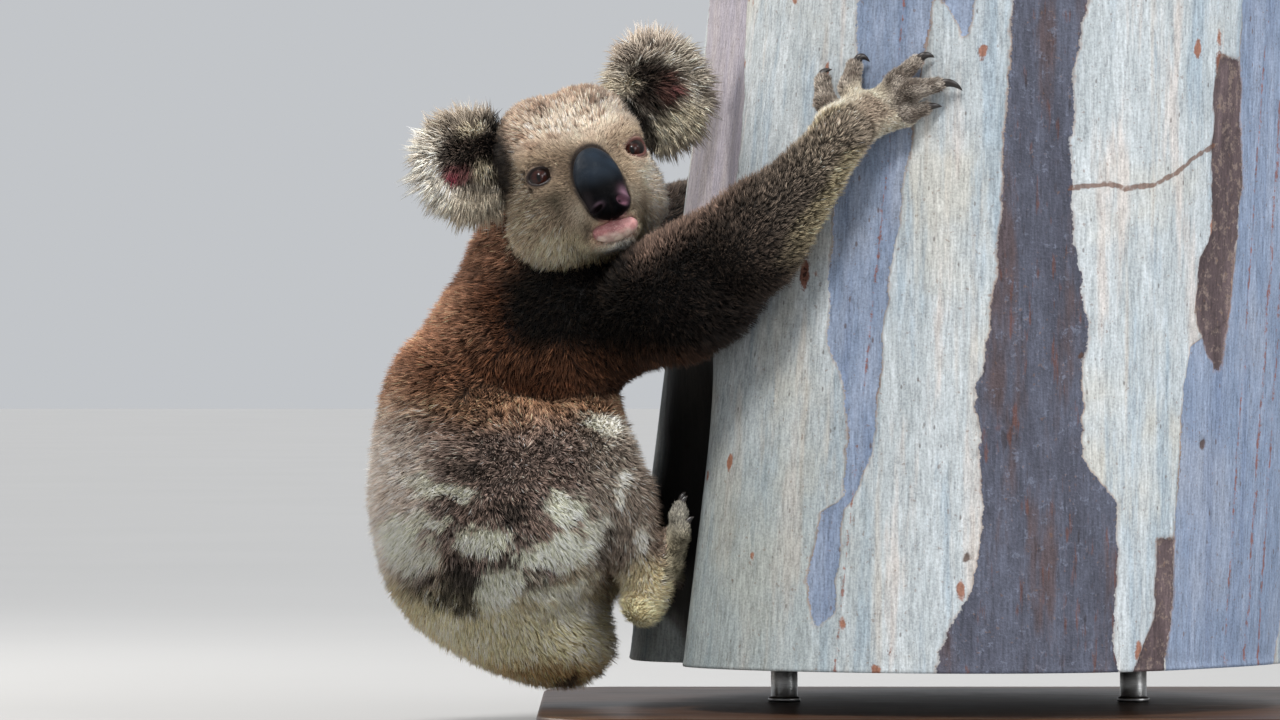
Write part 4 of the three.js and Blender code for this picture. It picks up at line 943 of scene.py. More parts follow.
# ------------------------------------------------------------------ materials
class Nodes:
    """A short way to write a node tree."""

    def __init__(self, name):
        self.mat = bpy.data.materials.new(name)
        self.mat.use_nodes = True
        self.t = self.mat.node_tree
        self.bsdf = self.t.nodes["Principled BSDF"]

    def add(self, kind, inputs=None, **props):
        n = self.t.nodes.new(kind)
        for k, v in props.items():
            setattr(n, k, v)
        for k, v in (inputs or {}).items():
            self.put(n.inputs[k], v)
        return n

    def put(self, socket, v):
        if isinstance(v, bpy.types.NodeSocket):
            self.t.links.new(v, socket)
        elif hasattr(socket.default_value, "__len__") and not hasattr(v, "__len__"):
            socket.default_value = [v] * len(socket.default_value)
        elif hasattr(socket.default_value, "__len__") and len(v) == 3 and len(socket.default_value) == 4:
            socket.default_value = (*v, 1)
        else:
            socket.default_value = v

    def set(self, **kw):
        for k, v in kw.items():
            self.put(self.bsdf.inputs[k.replace("_", " ")], v)
        return self

    def attr(self, name, out="Fac"):
        return self.add("ShaderNodeAttribute", attribute_name=name).outputs[out]

    def math(self, op, a, b=0.0, clamp=False):
        n = self.add("ShaderNodeMath", operation=op, use_clamp=clamp)
        self.put(n.inputs[0], a)
        self.put(n.inputs[1], b)
        return n.outputs[0]

    def vec(self, op, a, b=(0, 0, 0)):
        n = self.add("ShaderNodeVectorMath", operation=op)
        self.put(n.inputs[0], a)
        self.put(n.inputs[1], b)
        return n.outputs[0]

    def noise(self, at, scale, detail=3.0, rough=0.5, out=0, distort=0.0):
        return self.add("ShaderNodeTexNoise", {"Vector": at, "Scale": scale, "Detail": detail, "Roughness": rough, "Distortion": distort}).outputs[out]

    def mix(self, f, a, b, blend="MIX"):
        n = self.add("ShaderNodeMix", data_type="RGBA", blend_type=blend)
        self.put(n.inputs[0], f)
        self.put(n.inputs[6], a)
        self.put(n.inputs[7], b)
        return n.outputs[2]

    def span(self, x, a, b, c=0.0, d=1.0):
        return self.add("ShaderNodeMapRange", {"Value": x, "From Min": a, "From Max": b, "To Min": c, "To Max": d},
                        interpolation_type="SMOOTHSTEP").outputs[0]

    def line(self, x, a, b, c=0.0, d=1.0):
        return self.add("ShaderNodeMapRange", {"Value": x, "From Min": a, "From Max": b, "To Min": c, "To Max": d}).outputs[0]

    def bump(self, height, strength=0.5, distance=0.001, normal=None):
        n = self.add("ShaderNodeBump", {"Height": height, "Strength": strength, "Distance": distance})
        if normal is not None:
            self.put(n.inputs["Normal"], normal)
        return n.outputs[0]

    def ramp(self, x, stops):
        n = self.add("ShaderNodeValToRGB", {"Fac": x})
        e = n.color_ramp.elements
        while len(e) < len(stops):
            e.new(0.5)
        for q, (at, c) in zip(e, stops):
            q.position, q.color = at, (*c, 1)
        return n.outputs[0]

    def place(self):
        return self.add("ShaderNodeTexCoord").outputs["Object"]


def fur_material():
    m = Nodes("fur")
    at, lie = m.place(), m.attr("lie", "Vector")
    streak = m.noise(m.vec("MULTIPLY", lie, (1.0, 0.12, 1.0)), 1.6, 2.0)
    fleck = m.noise(at, 900.0, 2.0)
    k = m.math("ADD", m.line(streak, 0.3, 0.7, 0.80, 1.2), m.line(fleck, 0.3, 0.7, -0.08, 0.08))
    col = m.vec("MULTIPLY", m.attr("tint", "Color"), m.add("ShaderNodeCombineXYZ", {0: k, 1: k, 2: k}).outputs[0])
    m.set(Base_Color=col, Roughness=0.66, Specular_IOR_Level=0.10, Sheen_Weight=0.04, Sheen_Roughness=0.5)
    m.set(Normal=m.bump(streak, 0.35, 0.0004))
    return m.mat


def skin_material():
    m = Nodes("skin")
    at = m.place()
    fine, wide = m.noise(at, 700.0, 3.0, 0.6), m.noise(at, 160.0, 2.0)
    k = m.math("ADD", m.line(fine, 0.3, 0.7, 0.7, 1.15), m.line(wide, 0.3, 0.7, -0.1, 0.1))
    col = m.vec("MULTIPLY", m.attr("tint", "Color"), m.add("ShaderNodeCombineXYZ", {0: k, 1: k, 2: k}).outputs[0])
    wet = m.attr("wet")
    m.set(Base_Color=col, Roughness=m.line(wet, 0, 1, 0.75, 0.3), Specular_IOR_Level=0.3)
    m.set(Normal=m.bump(m.math("ADD", fine, m.math("MULTIPLY", wide, 0.6)), 0.6, 0.0007))
    return m.mat


def nose_material():
    m = Nodes("nose")
    at = m.place()
    hide, sheen, inside = m.attr("tint", "Color"), m.attr("wear"), m.attr("nostril")
    cells = m.add("ShaderNodeTexVoronoi", {"Vector": at, "Scale": 900.0}, feature="DISTANCE_TO_EDGE").outputs[0]
    fine, wide = m.noise(at, 1600.0, 2.0), m.noise(at, 120.0, 3.0)
    col = m.mix(m.math("MULTIPLY", m.span(wide, 0.4, 0.7), 0.12), hide, tuple(srgb(26, 28, 32)))
    m.set(Base_Color=col, Roughness=m.line(wide, 0.3, 0.7, 0.38, 0.50), Specular_IOR_Level=m.line(sheen, 0, 1, 0.03, 0.07))
    h = m.math("ADD", m.span(cells, 0.0, 0.12), m.math("MULTIPLY", fine, 0.5))
    m.set(Normal=m.bump(h, 0.45, 0.0003, m.bump(wide, 0.5, 0.001)))
    return m.mat


def lip_material():
    m = Nodes("lip")
    at = m.place()
    fine, wide = m.noise(at, 900.0, 3.0, 0.6), m.noise(at, 140.0, 3.0)
    col = m.mix(m.math("MULTIPLY", m.span(wide, 0.40, 0.62), 0.45), m.attr("tint", "Color"), tuple(srgb(120, 74, 76)))
    col = m.mix(m.math("MULTIPLY", m.span(fine, 0.5, 0.72), 0.4), col, tuple(srgb(226, 194, 186)))
    m.set(Base_Color=col, Roughness=0.5, Specular_IOR_Level=0.25, Subsurface_Weight=0.08)
    m.set(Normal=m.bump(fine, 0.5, 0.0005))
    return m.mat


def eye_material():
    m = Nodes("eye")
    r, ang = m.attr("radial"), m.attr("around")
    fib = m.noise(m.add("ShaderNodeCombineXYZ", {0: m.math("MULTIPLY", ang, 14.0), 1: m.math("MULTIPLY", r, 1.5), 2: 0.0}).outputs[0], 2.2, 4.0, 0.6)
    iris = m.mix(m.span(fib, 0.35, 0.7), tuple(srgb(26, 11, 8)), tuple(srgb(60, 25, 18)))
    iris = m.mix(m.span(r, 0.62, 0.98), iris, tuple(srgb(17, 9, 7)))
    col = m.mix(m.attr("pupil"), iris, tuple(srgb(5, 4, 4)))
    col = m.mix(m.span(r, 1.0, 1.12), col, tuple(srgb(26, 17, 13)))
    m.set(Base_Color=col, Roughness=0.30, Specular_IOR_Level=0.15, Coat_Weight=0.75, Coat_Roughness=0.03, Coat_IOR=1.28)
    return m.mat


def claw_material():
    m = Nodes("claw")
    at, along = m.place(), m.attr("along")
    streak = m.noise(m.vec("MULTIPLY", m.attr("lie", "Vector"), (1.0, 0.08, 1.0)), 1.4, 3.0)
    col = m.mix(m.span(streak, 0.35, 0.7), tuple(srgb(24, 20, 19)), tuple(srgb(46, 38, 34)))
    col = m.mix(m.math("MULTIPLY", m.span(along, 0.25, 0.0), 0.3), col, tuple(srgb(84, 68, 56)))
    col = m.mix(m.math("MULTIPLY", m.span(along, 0.8, 1.0), 0.35), col, tuple(srgb(84, 74, 64)))
    m.set(Base_Color=col, Roughness=m.line(streak, 0.3, 0.7, 0.26, 0.42), Specular_IOR_Level=0.5)
    m.set(Normal=m.bump(streak, 0.3, 0.0003))
    return m.mat


def timber_material():
    m = Nodes("base_timber")
    at = m.place()
    warp = m.vec("ADD", m.vec("MULTIPLY", at, (1.0, 9.0, 9.0)), m.vec("MULTIPLY", m.noise(at, 3.0, 2.0, 0.5, 1), (0.5, 0.5, 0.5)))
    rings = m.noise(warp, 3.2, 6.0, 0.62, 0, 0.6)
    pores = m.noise(m.vec("MULTIPLY", at, (12.0, 260.0, 260.0)), 2.0, 3.0, 0.6)
    col = m.ramp(rings, [(0.30, srgb(40, 27, 20)), (0.48, srgb(66, 44, 31)), (0.62, srgb(82, 56, 38)), (0.78, srgb(52, 35, 26))])
    col = m.mix(m.math("MULTIPLY", m.span(pores, 0.56, 0.70), 0.6), col, tuple(srgb(26, 17, 12)))
    m.set(Base_Color=col, Roughness=m.line(pores, 0.3, 0.7, 0.34, 0.5), Specular_IOR_Level=0.4)
    m.set(Normal=m.bump(pores, 0.25, 0.0006))
    return m.mat


def steel_material():
    m = Nodes("rod_steel")
    at = m.place()
    brush = m.noise(m.vec("MULTIPLY", at, (60.0, 60.0, 1400.0)), 2.0, 3.0, 0.6)
    col = m.mix(m.span(brush, 0.35, 0.65), tuple(srgb(176, 176, 174)), tuple(srgb(150, 150, 150)))
    m.set(Base_Color=col, Metallic=1.0, Roughness=m.line(brush, 0.3, 0.7, 0.26, 0.4))
    m.set(Normal=m.bump(brush, 0.15, 0.0002))
    return m.mat


MAT = {"fur": fur_material(), "skin": skin_material(), "nose": nose_material(), "lip": lip_material(), "eye": eye_material(),
       "claw": claw_material(), "timber": timber_material(), "steel": steel_material()}
FLESH = [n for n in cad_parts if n.split("_")[0] in
         ("head", "ear", "neck", "thorax", "rump", "upperarm", "forearm", "hand", "thigh", "shank", "foot")]


def piece(ob, slot, *nodes):
    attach(ob, "root")
    if nodes:
        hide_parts(*nodes)
    return ob


# ------------------------------------------------------------------ the skin's colour, darkened under the coat
jit = noise(V, 3.0, 71)
SKIN_TINT = tint(V, PART, jit)
wet = np.exp(-(to_line(to_head(V), [(-22, -56, 15), (-27, -62, 8)]) / 4.0) ** 2)
for n0, n, row, side in lid_info:
    wet[n0:n0 + n] = np.exp(-(np.clip(row, 0, 90) / 4.0) ** 2)
# the skin under the coat is darkened, partly as the skin's own darker colour and partly as painted shade beneath the
# hair; bare places, the lids and the insides of the ears keep nearly their full colour
under = 0.36 + 0.5 * smooth(SKIN_TINT.mean(1), 0.1, 0.6)
under = under + (0.95 - under) * np.clip(1.15 * (1 - np.clip(bareness(V), 0, 1)), 0, 1)
under[PART == PARTS.index("lid")] = 1.0
inner_ear = PART == PARTS.index("ear_in")
under[inner_ear] = 0.9
attribute(skin_me, "tint", "FLOAT_COLOR", np.concatenate([SKIN_TINT * under[:, None], np.ones((len(V), 1))], 1))
attribute(skin_me, "wet", "FLOAT", wet)
skin_ob = piece(add_object("skin", skin_me, MAT["skin"]), "fur", *FLESH)


# ------------------------------------------------------------------ eyes
def sphere_grid(lat, lon):
    th = np.linspace(0, math.pi, lat + 1)[1:-1]
    ph = np.arange(lon) * 2 * math.pi / lon
    D = np.stack([np.outer(np.sin(th), np.cos(ph)), np.outer(np.sin(th), np.sin(ph)), np.outer(np.cos(th), np.ones(lon))], -1).reshape(-1, 3)
    D = np.concatenate([D, [[0, 0, 1], [0, 0, -1]]])
    T, n = [], lat - 1
    for k in range(n - 1):
        for j in range(lon):
            a, b = k * lon + j, k * lon + (j + 1) % lon
            T += [(a, a + lon, b + lon), (a, b + lon, b)]
    for j in range(lon):
        b = (j + 1) % lon
        T += [(n * lon, j, b), (n * lon + 1, (n - 1) * lon + b, (n - 1) * lon + j)]
    return D, np.array(T)


for side in ("r", "l"):
    g = GAZE[side]
    x = unit(HA - g * (HA @ g))
    y = np.cross(g, x)
    y = y if y @ HU > 0 else -y
    D, T0 = sphere_grid(48, 64)
    P = EYES[side] + (np.outer(D[:, 0], x) + np.outer(D[:, 1], y) + np.outer(D[:, 2], g)) * (EYE_R - 0.05)
    P += g * (0.9 * smooth(D[:, 2], 0.84, 1.0))[:, None]  # the cornea stands out a little
    if np.cross(x, y) @ g < 0:
        T0 = T0[:, ::-1]
    me = mesh_of("eye_" + side, P, T0)
    r = np.degrees(np.arccos(np.clip(D[:, 2], -1, 1))) / 47.0
    slit = np.hypot(D[:, 0] / 0.17, D[:, 1] / 0.36)
    attribute(me, "radial", "FLOAT", r)
    attribute(me, "around", "FLOAT", np.abs(np.arctan2(D[:, 1], D[:, 0])) / math.pi)
    attribute(me, "pupil", "FLOAT", (1 - smooth(slit, 0.85, 1.1)) * (D[:, 2] > 0))
    piece(add_object("eyeball_" + side, me, MAT["eye"]), "eye", "eye_" + side)

# ------------------------------------------------------------------ nose
D, T0 = sphere_grid(110, 120)
start = head(0, -28, 16)
axis = np.stack([HA, HC, HU])  # poles up and down the nose
dirs = D @ axis
lo_t, hi_t = np.zeros(len(dirs)), np.full(len(dirs), 60.0)
for _ in range(26):
    mid = (lo_t + hi_t) / 2
    inside = nose_field(start + dirs * mid[:, None]) < 0
    lo_t, hi_t = np.where(inside, mid, lo_t), np.where(inside, hi_t, mid)
P = start + dirs * lo_t[:, None]
H = to_head(P)
nrm = unit(gradient(nose_field, P))
NOSTRILS = [(-12.5, -44.0, 4.6, 2.4, 30.0, 3.4), (9.5, -43.0, 6.2, 4.0, -32.0, 4.6)]  # a, u, half-lengths, tilt, depth
deep = np.zeros(len(P))
for a0, u0, la, lb, tilt, dep in NOSTRILS:
    c, s = math.cos(rad(tilt)), math.sin(rad(tilt))
    da, du = H[:, 0] - a0, H[:, 1] - u0
    q = np.hypot((da * c + du * s) / la, (-da * s + du * c) / lb)
    front = H[:, 2] > 18
    P -= nrm * (dep * (1 - smooth(q, 0.45, 1.15)) * front)[:, None]
    P += nrm * (0.9 * np.exp(-((q - 1.35) / 0.35) ** 2) * front)[:, None]
    deep = np.maximum(deep, (1 - smooth(q, 0.7, 1.1)) * front)
crease = np.exp(-(((H[:, 0] + 2.0) / 1.3) ** 2)) * smooth(-H[:, 1], 36, 46) * (H[:, 2] > 14)
P -= nrm * (0.9 * crease)[:, None]
P += nrm * (0.35 * rough(P, 9, 5))[:, None]
nose_me = mesh_of("nose", P, T0 if np.linalg.det(axis) > 0 else T0[:, ::-1])
upper_half = smooth(H[:, 1], -44, -14)
# painted reflection: the upper part of the pad is blue-grey, the rest near black
base = mix(np.tile(srgb(3, 3, 4), (len(P), 1)), np.tile(srgb(34, 44, 55), (len(P), 1)), 0.9 * smooth(H[:, 1], -30, -10) * (0.8 + 0.3 * noise(P, 8, 3)))
base = mix(base, np.tile(srgb(58, 50, 54), (len(P), 1)), 0.35 * smooth(np.abs(H[:, 0]), 12, 18) * smooth(-H[:, 1], 20, 40))
# painted highlights: a pale pink-lilac one on the wing of the left nostril and a smaller one by the right nostril
wing_highlight = np.exp(-(((H[:, 0] - 13.0) / 4.6) ** 2 + ((H[:, 1] + 38.0) / 6.0) ** 2)) * (H[:, 2] > 12)
base = mix(base, np.tile(srgb(128, 98, 112), (len(P), 1)), 0.85 * wing_highlight)
speck = np.exp(-(((H[:, 0] + 11.0) / 3.0) ** 2 + ((H[:, 1] + 41.5) / 2.2) ** 2)) * (H[:, 2] > 12)
base = mix(base, np.tile(srgb(104, 84, 96), (len(P), 1)), 0.7 * speck)
# inside the nostrils: pink in the left one; the right one and the cores of both are near black as painted shade
pink = np.where((H[:, 0] > -2)[:, None], srgb(120, 84, 98), srgb(20, 14, 16))
base = mix(base, pink, deep)
core = np.zeros(len(P))
for a0, u0, la, lb, tilt, dep in NOSTRILS:
    core = np.maximum(core, np.exp(-(((H[:, 0] - a0 + 0.6) / (la * 0.55)) ** 2 + ((H[:, 1] - u0 + 0.8) / (lb * 0.62)) ** 2)))
base = mix(base, np.tile(srgb(10, 7, 8), (len(P), 1)), 0.95 * core * deep)
# painted shade in the crease down the middle of the pad
base = mix(base, np.tile(srgb(12, 9, 9), (len(P), 1)), 0.7 * crease)
attribute(nose_me, "tint", "FLOAT_COLOR", np.concatenate([np.clip(base, 0.0005, 1), np.ones((len(P), 1))], 1))
attribute(nose_me, "wear", "FLOAT", upper_half)
attribute(nose_me, "nostril", "FLOAT", deep)
piece(add_object("nose", nose_me, MAT["nose"]), "nose", "nose_pad")

# ------------------------------------------------------------------ lower lip
D, T0 = sphere_grid(40, 56)
L = D * LIP_SIZE * 0.985
P = head(0, 0, 0) + (LIP_AT + L) @ HB
L2 = LIP_AT + L
P += HU[None] * (-1.0 * np.exp(-((L2[:, 0] - 1) / 2.4) ** 2) * smooth(L2[:, 1], -62, -55))[:, None]
P += unit(D @ HB) * (0.4 * rough(P, 5, 9))[:, None]
lip_me = mesh_of("lip", P, T0 if np.linalg.det(HB) > 0 else T0[:, ::-1])
Lh = to_head(P)
tones = np.tile(srgb(172, 118, 116), (len(P), 1))
tones = mix(tones, srgb(202, 148, 146), smooth(Lh[:, 0] + 2 * noise(P, 5, 17), 3, 13))
tones = mix(tones, srgb(112, 70, 72), 0.8 * np.exp(-((Lh[:, 0] + 4) / 7) ** 2 - ((Lh[:, 1] + 64) / 6) ** 2) + 0.5 * smooth(-Lh[:, 0], 11, 18))
# painted shade: a dark line along the top of the lower lip, where the lips meet
tones = mix(tones, srgb(70, 40, 42), 0.9 * smooth(Lh[:, 1] + 1.5 * noise(P, 5, 18), -57, -54))
tones = mix(tones, srgb(226, 208, 192), 0.85 * smooth(-Lh[:, 1] + 2.5 * noise(P, 4, 19), 63.5, 69))
attribute(lip_me, "tint", "FLOAT_COLOR", np.concatenate([tones, np.ones((len(P), 1))], 1))
piece(add_object("lip", lip_me, MAT["lip"]), "lip", "lower_lip")


# ------------------------------------------------------------------ claws
def horn(name, path, r, sides=18, steps=22):
    a, b, c = path
    t = np.linspace(0, 1, steps)
    mid = b
    C = np.outer((1 - t) ** 2, a) + np.outer(2 * t * (1 - t), mid) + np.outer(t * t, c)
    G = unit(np.outer(2 * (1 - t), mid - a) + np.outer(2 * t, c - mid))
    bend = np.cross(mid - a, c - mid)
    side = unit(bend if np.linalg.norm(bend) > 1e-6 else np.cross(c - a, A(0, 0, 1)))
    up = np.cross(side, G)
    w = r * (1 - 0.78 * t * t - 0.1 * t)
    w[-3:] *= A(0.93, 0.75, 0.42)
    P, along, lie = [], [], []
    for k in range(steps):
        for j in range(sides):
            q = 2 * math.pi * j / sides
            keel = 1 + 0.10 * max(0, math.cos(q)) ** 3
            P.append(C[k] + side * (0.78 * w[k] * math.sin(q)) + up[k] * (w[k] * keel * math.cos(q)))
            along.append(t[k])
            lie.append((q * 2, t[k] * 20, r))
    P += [C[0] - G[0] * 0.3, C[-1] + G[-1] * 0.25 * w[-1]]
    along += [0, 1]
    lie += [(0, 0, r), (0, 20, r)]
    T = []
    for k in range(steps - 1):
        for j in range(sides):
            p, q = k * sides + j, k * sides + (j + 1) % sides
            T += [(p, q, q + sides), (p, q + sides, p + sides)]
    n = steps * sides
    for j in range(sides):
        q = (j + 1) % sides
        T += [(n, q, j), (n + 1, (steps - 1) * sides + j, (steps - 1) * sides + q)]
    P, T = np.array(P), np.array(T)
    v = np.einsum("ij,ij->i", P[T[:, 0]], np.cross(P[T[:, 1]], P[T[:, 2]])).sum()
    T = T if v > 0 else T[:, ::-1]
    c0 = P.mean(0)
    v = np.einsum("ij,ij->i", P[T[:, 0]] - c0, np.cross(P[T[:, 1]] - c0, P[T[:, 2]] - c0)).sum()
    T = T if v > 0 else T[:, ::-1]
    me = mesh_of(name, P, T)
    attribute(me, "along", "FLOAT", along)
    attribute(me, "lie", "FLOAT_VECTOR", lie)
    piece(add_object(name + "_horn", me, MAT["claw"]), "claw", name)


for name, path, r in CLAWS:
    horn(name, path, r)


# ------------------------------------------------------------------ the perch: bark in plates
# each plate: kind, then rows of height and its two edges as angles round the trunk
PLATES = [
    ("lilac", [(631, 180, 202.5), (547, 187.5, 209.8), (501, 183.7, 211.6), (454, 180.2, 210.8), (404, 180.2, 203.8)]),
    ("blue", [(616, 237.2, 251.8), (570, 238.6, 251.2), (464, 236.9, 250.1), (387, 237.9, 249.0), (331, 239.0, 249.0), (293, 243.2, 249.0),
              (236, 244.9, 249.0), (202, 244.4, 246.2), (194, 241.3, 245.1), (141, 239.4, 245.2), (111, 241.2, 245.7), (100, 242.6, 243.5)]),
    ("blue", [(616, 253.4, 259.3), (599, 256.2, 259.4), (586, 257.4, 258.6)]),
    ("brown", [(614, 266.6, 279.3), (564, 266.7, 277.7), (500, 266.7, 278.4), (425, 267.8, 279.8), (349, 267.4, 283.9), (293, 265.9, 283.9),
               (237, 267.8, 284.9), (199, 268.7, 292.1), (131, 268.8, 293.1), (79, 263.7, 292.9), (51, 264.1, 296.4), (40, 264.2, 303.8)]),
    ("dark", [(567, 307.8, 313.0), (540, 306.8, 314.6), (464, 307.5, 316.2), (426, 308.7, 316.0), (399, 305.6, 315.7), (349, 306.5, 315.2), (312, 312.0, 313.7)]),
    ("dark", [(169, 300.6, 304.7), (103, 301.4, 305.4), (60, 297.5, 304.7), (22, 296.7, 304.7)]),
    ("blue", [(626, 312.9, 338), (568, 313.3, 341), (465, 316.2, 339), (400, 316.0, 337), (350, 315.2, 339), (330, 305.4, 341), (312, 304.3, 343),
              (274, 304.4, 344), (168, 304.7, 343), (103, 305.4, 340), (40, 304.5, 337)]),
    # the far side, in the same manner
    ("brown", [(640, 350, 357), (520, 351, 359), (400, 348, 360), (300, 349, 358), (232, 352, 355)]),
    ("lilac", [(600, 2, 22), (510, 4, 26), (430, 8, 24), (352, 12, 19)]),
    ("blue", [(340, 1, 17), (250, 3, 22), (150, 2, 24), (50, 0, 21)]),
    ("brown", [(500, 36, 48), (430, 35, 50), (300, 38, 53), (190, 36, 49), (112, 41, 45)]),
    ("dark", [(640, 61, 66), (540, 60, 67), (455, 62, 65)]),
    ("blue", [(640, 76, 98), (545, 74, 101), (430, 79, 99), (330, 77, 94), (246, 84, 90)]),
    ("lilac", [(232, 70, 92), (160, 67, 95), (50, 69, 93)]),
    ("brown", [(470, 112, 124), (350, 110, 127), (230, 112, 130), (120, 110, 126), (40, 112, 123)]),
    ("dark", [(610, 118, 123), (552, 116, 125), (508, 119, 122)]),
    ("blue", [(560, 138, 156), (450, 140, 161), (330, 137, 158), (248, 142, 150)]),
    ("blue", [(180, 150, 172), (110, 148, 175), (40, 152, 171)]),
]
KINDS = ("lilac", "blue", "brown", "dark")
TWIG = [(459, 278.8), (463, 285.3), (459, 288.7), (462, 294.0), (472, 298.7), (485, 302.5), (496, 307.6)]
KNOTS = [(156, 267.0, 3.4), (248, 310.5, 4.0), (322, 283.2, 2.6), (430, 231.0, 2.4), (300, 96.0, 3.6), (520, 40.0, 3.0), (210, 140.0, 3.2)]
RUST_LINES = [(327.5, 0.8), (331.6, 0.7), (321.0, 0.5), (88.0, 0.6), (8.5, 0.6), (246.5, 0.35)]


def plate_distance(rows, W, Z):
    """Signed distance in mm, above 0 inside the plate."""
    rows = sorted(rows)
    z = [q[0] for q in rows]
    left, right = np.interp(Z, z, [q[1] for q in rows]), np.interp(Z, z, [q[2] for q in rows])
    far = rows[0][1] < 175 or rows[0][1] > 345
    if far:  # these plates wander and taper to ragged ends
        W = W + 1.0 * np.sin(Z / 31 + rows[0][1]) + 0.55 * np.sin(Z / 11.3 + 1.7) + 0.3 * np.sin(Z / 4.1)
    side = np.minimum(W - left, right - W) * 4.75
    t = np.clip((W - left) / np.maximum(right - left, 0.1), 0, 1)
    bow = 46 * np.abs(2 * t - 0.8) ** 1.4 + 7 * np.sin(W * 1.9) + 4 * np.sin(W * 4.7 + 1) if far else 0
    return np.minimum(side, np.minimum(Z - z[0] - (bow if z[0] > 45 else 0) + 2, z[-1] - (bow if z[-1] < 620 else 0) - Z + 2))


cols, rows_n = ((460, 150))
w_edge = np.linspace(0, 360, cols + 1)
z_edge = np.concatenate([[Z0, Z0 + 1.2], np.linspace(Z0 + 3, Z1 - 3, rows_n), [Z1 - 1.2, Z1]])
WW, ZZ = np.meshgrid(w_edge, z_edge)
W1, Z1_ = WW.ravel(), ZZ.ravel()
flat = on_trunk(np.radians(W1), Z1_)
warp = 2.6 * noise(flat, 26, 5) + 1.5 * noise(flat, 9, 6)
field = {k: np.full(len(W1), -60.0) for k in KINDS}
for kind, table in PLATES:
    for turn in (-360, 0, 360):
        field[kind] = np.maximum(field[kind], plate_distance(table, W1 + turn + warp / 5.5, Z1_ + 2.0 * noise(flat, 14, 8)))
cover = {k: smooth(field[k], -1.6, 1.6) for k in KINDS}
relief = -0.9 * cover["blue"] - 0.7 * cover["lilac"] + 0.0 * cover["brown"] - 1.5 * cover["dark"] - 0.35
relief += 0.55 * cover["brown"] * (noise(flat * A(1, 1, 0.3), 7, 33) - 0.5)
relief += 0.35 * rough(flat * A(1, 1, 0.22), 15, 12) - 0.25
lips = sum(np.exp(-((field[k] + 2.4) / 1.8) ** 2) for k in ("blue", "lilac", "dark"))
relief += 0.45 * np.clip(lips, 0, 1)
knot = np.zeros(len(W1))
for kz, kw, kr in KNOTS:
    d = np.hypot((W1 - kw) * 4.75, (Z1_ - kz) * 0.8)
    knot = np.maximum(knot, np.exp(-((d / kr) ** 2)))
    relief += 0.9 * np.exp(-((d / (kr * 1.3) - 1.3) / 0.5) ** 2) - 2.2 * np.exp(-((d / kr) ** 2))
twig = np.full(len(W1), 1e9)
for (za, wa), (zb, wb) in zip(TWIG[:-1], TWIG[1:]):
    p, q = A(wa * 4.75, za), A(wb * 4.75, zb)
    X = np.stack([W1 * 4.75, Z1_], 1)
    t = np.clip(((X - p) @ (q - p)) / ((q - p) @ (q - p)), 0, 1)
    twig = np.minimum(twig, np.linalg.norm(X - p - t[:, None] * (q - p), axis=1))
rust = np.full(len(W1), -60.0)
for rw, width in RUST_LINES:
    wob = W1 + 0.35 * noise(np.stack([0 * Z1_, 0 * Z1_, Z1_], 1), 40, int(rw)) + 0.12 * noise(np.stack([0 * Z1_, 0 * Z1_, Z1_], 1), 9, int(rw) + 1)
    rust = np.maximum(rust, width * 2.0 - np.abs(wob - rw) * 4.75)
edge = np.minimum(Z1_ - Z0, Z1 - Z1_)
relief = relief * smooth(edge, 0, 6) - 1.2 * (1 - smooth(edge, 0, 1.4))
relief = np.minimum(relief, 0.0)
relief[W1 >= 359.999] = relief[W1 <= 1e-9]
P = on_trunk(np.radians(W1), Z1_, relief)
nr, nc = len(z_edge), cols + 1
k = np.arange(nr * nc).reshape(nr, nc)
side_quads = np.stack([k[:-1, :-1], k[:-1, 1:], k[1:, 1:], k[1:, :-1]], -1).reshape(-1, 4)
uv = np.stack([W1 / 360 * 0.98 + 0.01, 0.32 + 0.67 * (Z1_ - Z0) / (Z1 - Z0)], 1)
caps_v, caps_t, caps_uv, caps_r = [P], [], [uv], [np.full(len(P), 1.0)]
cut = [np.zeros(len(P))]
n0 = len(P)
RINGS = 18
for top in (0, 1):
    zc = Z1 if top else Z0
    rim_row = nr - 1 if top else 0
    rim = P.reshape(nr, nc, 3)[rim_row, :cols:2]
    m = len(rim)
    centre = A(LEAN * (zc - Z0), 0, zc)
    rr = np.linspace(0, 1, RINGS + 1)[1:]
    V2 = np.concatenate([centre[None]] + [centre + (rim - centre) * q for q in rr])
    caps_v.append(V2)
    ang = np.arctan2(rim[:, 1], rim[:, 0] - centre[0])
    d = np.linalg.norm(V2[:, :2] - centre[:2], axis=1)
    caps_uv.append(np.stack([0.25 + 0.5 * top + (V2[:, 0] - centre[0]) / 2400.0, 0.15 + V2[:, 1] / 2400.0], 1))
    caps_r.append(np.concatenate([[0], np.repeat(rr, m)]))
    cut.append(np.ones(len(V2)))
    j = np.arange(m)
    jn = (j + 1) % m
    tri = np.stack([np.full(m, n0), n0 + 1 + j, n0 + 1 + jn], 1)
    quads = [np.stack([n0 + 1 + (q - 1) * m + j, n0 + 1 + q * m + j, n0 + 1 + q * m + jn, n0 + 1 + (q - 1) * m + jn], 1) for q in range(1, RINGS)]
    quads = np.concatenate(quads)
    if not top:
        tri, quads = tri[:, ::-1], quads[:, ::-1]
    caps_t.append((tri, quads))
    n0 += len(V2)
P_all = np.concatenate(caps_v)
trunk_me = mesh_of("bark", P_all, [np.concatenate([side_quads, caps_t[0][1], caps_t[1][1]]), np.concatenate([caps_t[0][0], caps_t[1][0]])])
pad = len(P_all) - len(P)
tail = lambda x, v=-60.0: np.concatenate([x, np.full(pad, v)])
for kind in KINDS:
    attribute(trunk_me, "sd_" + kind, "FLOAT", tail(np.clip(field[kind], -30, 30)))
attribute(trunk_me, "sd_twig", "FLOAT", tail(np.clip(2.2 - twig, -30, 30)))
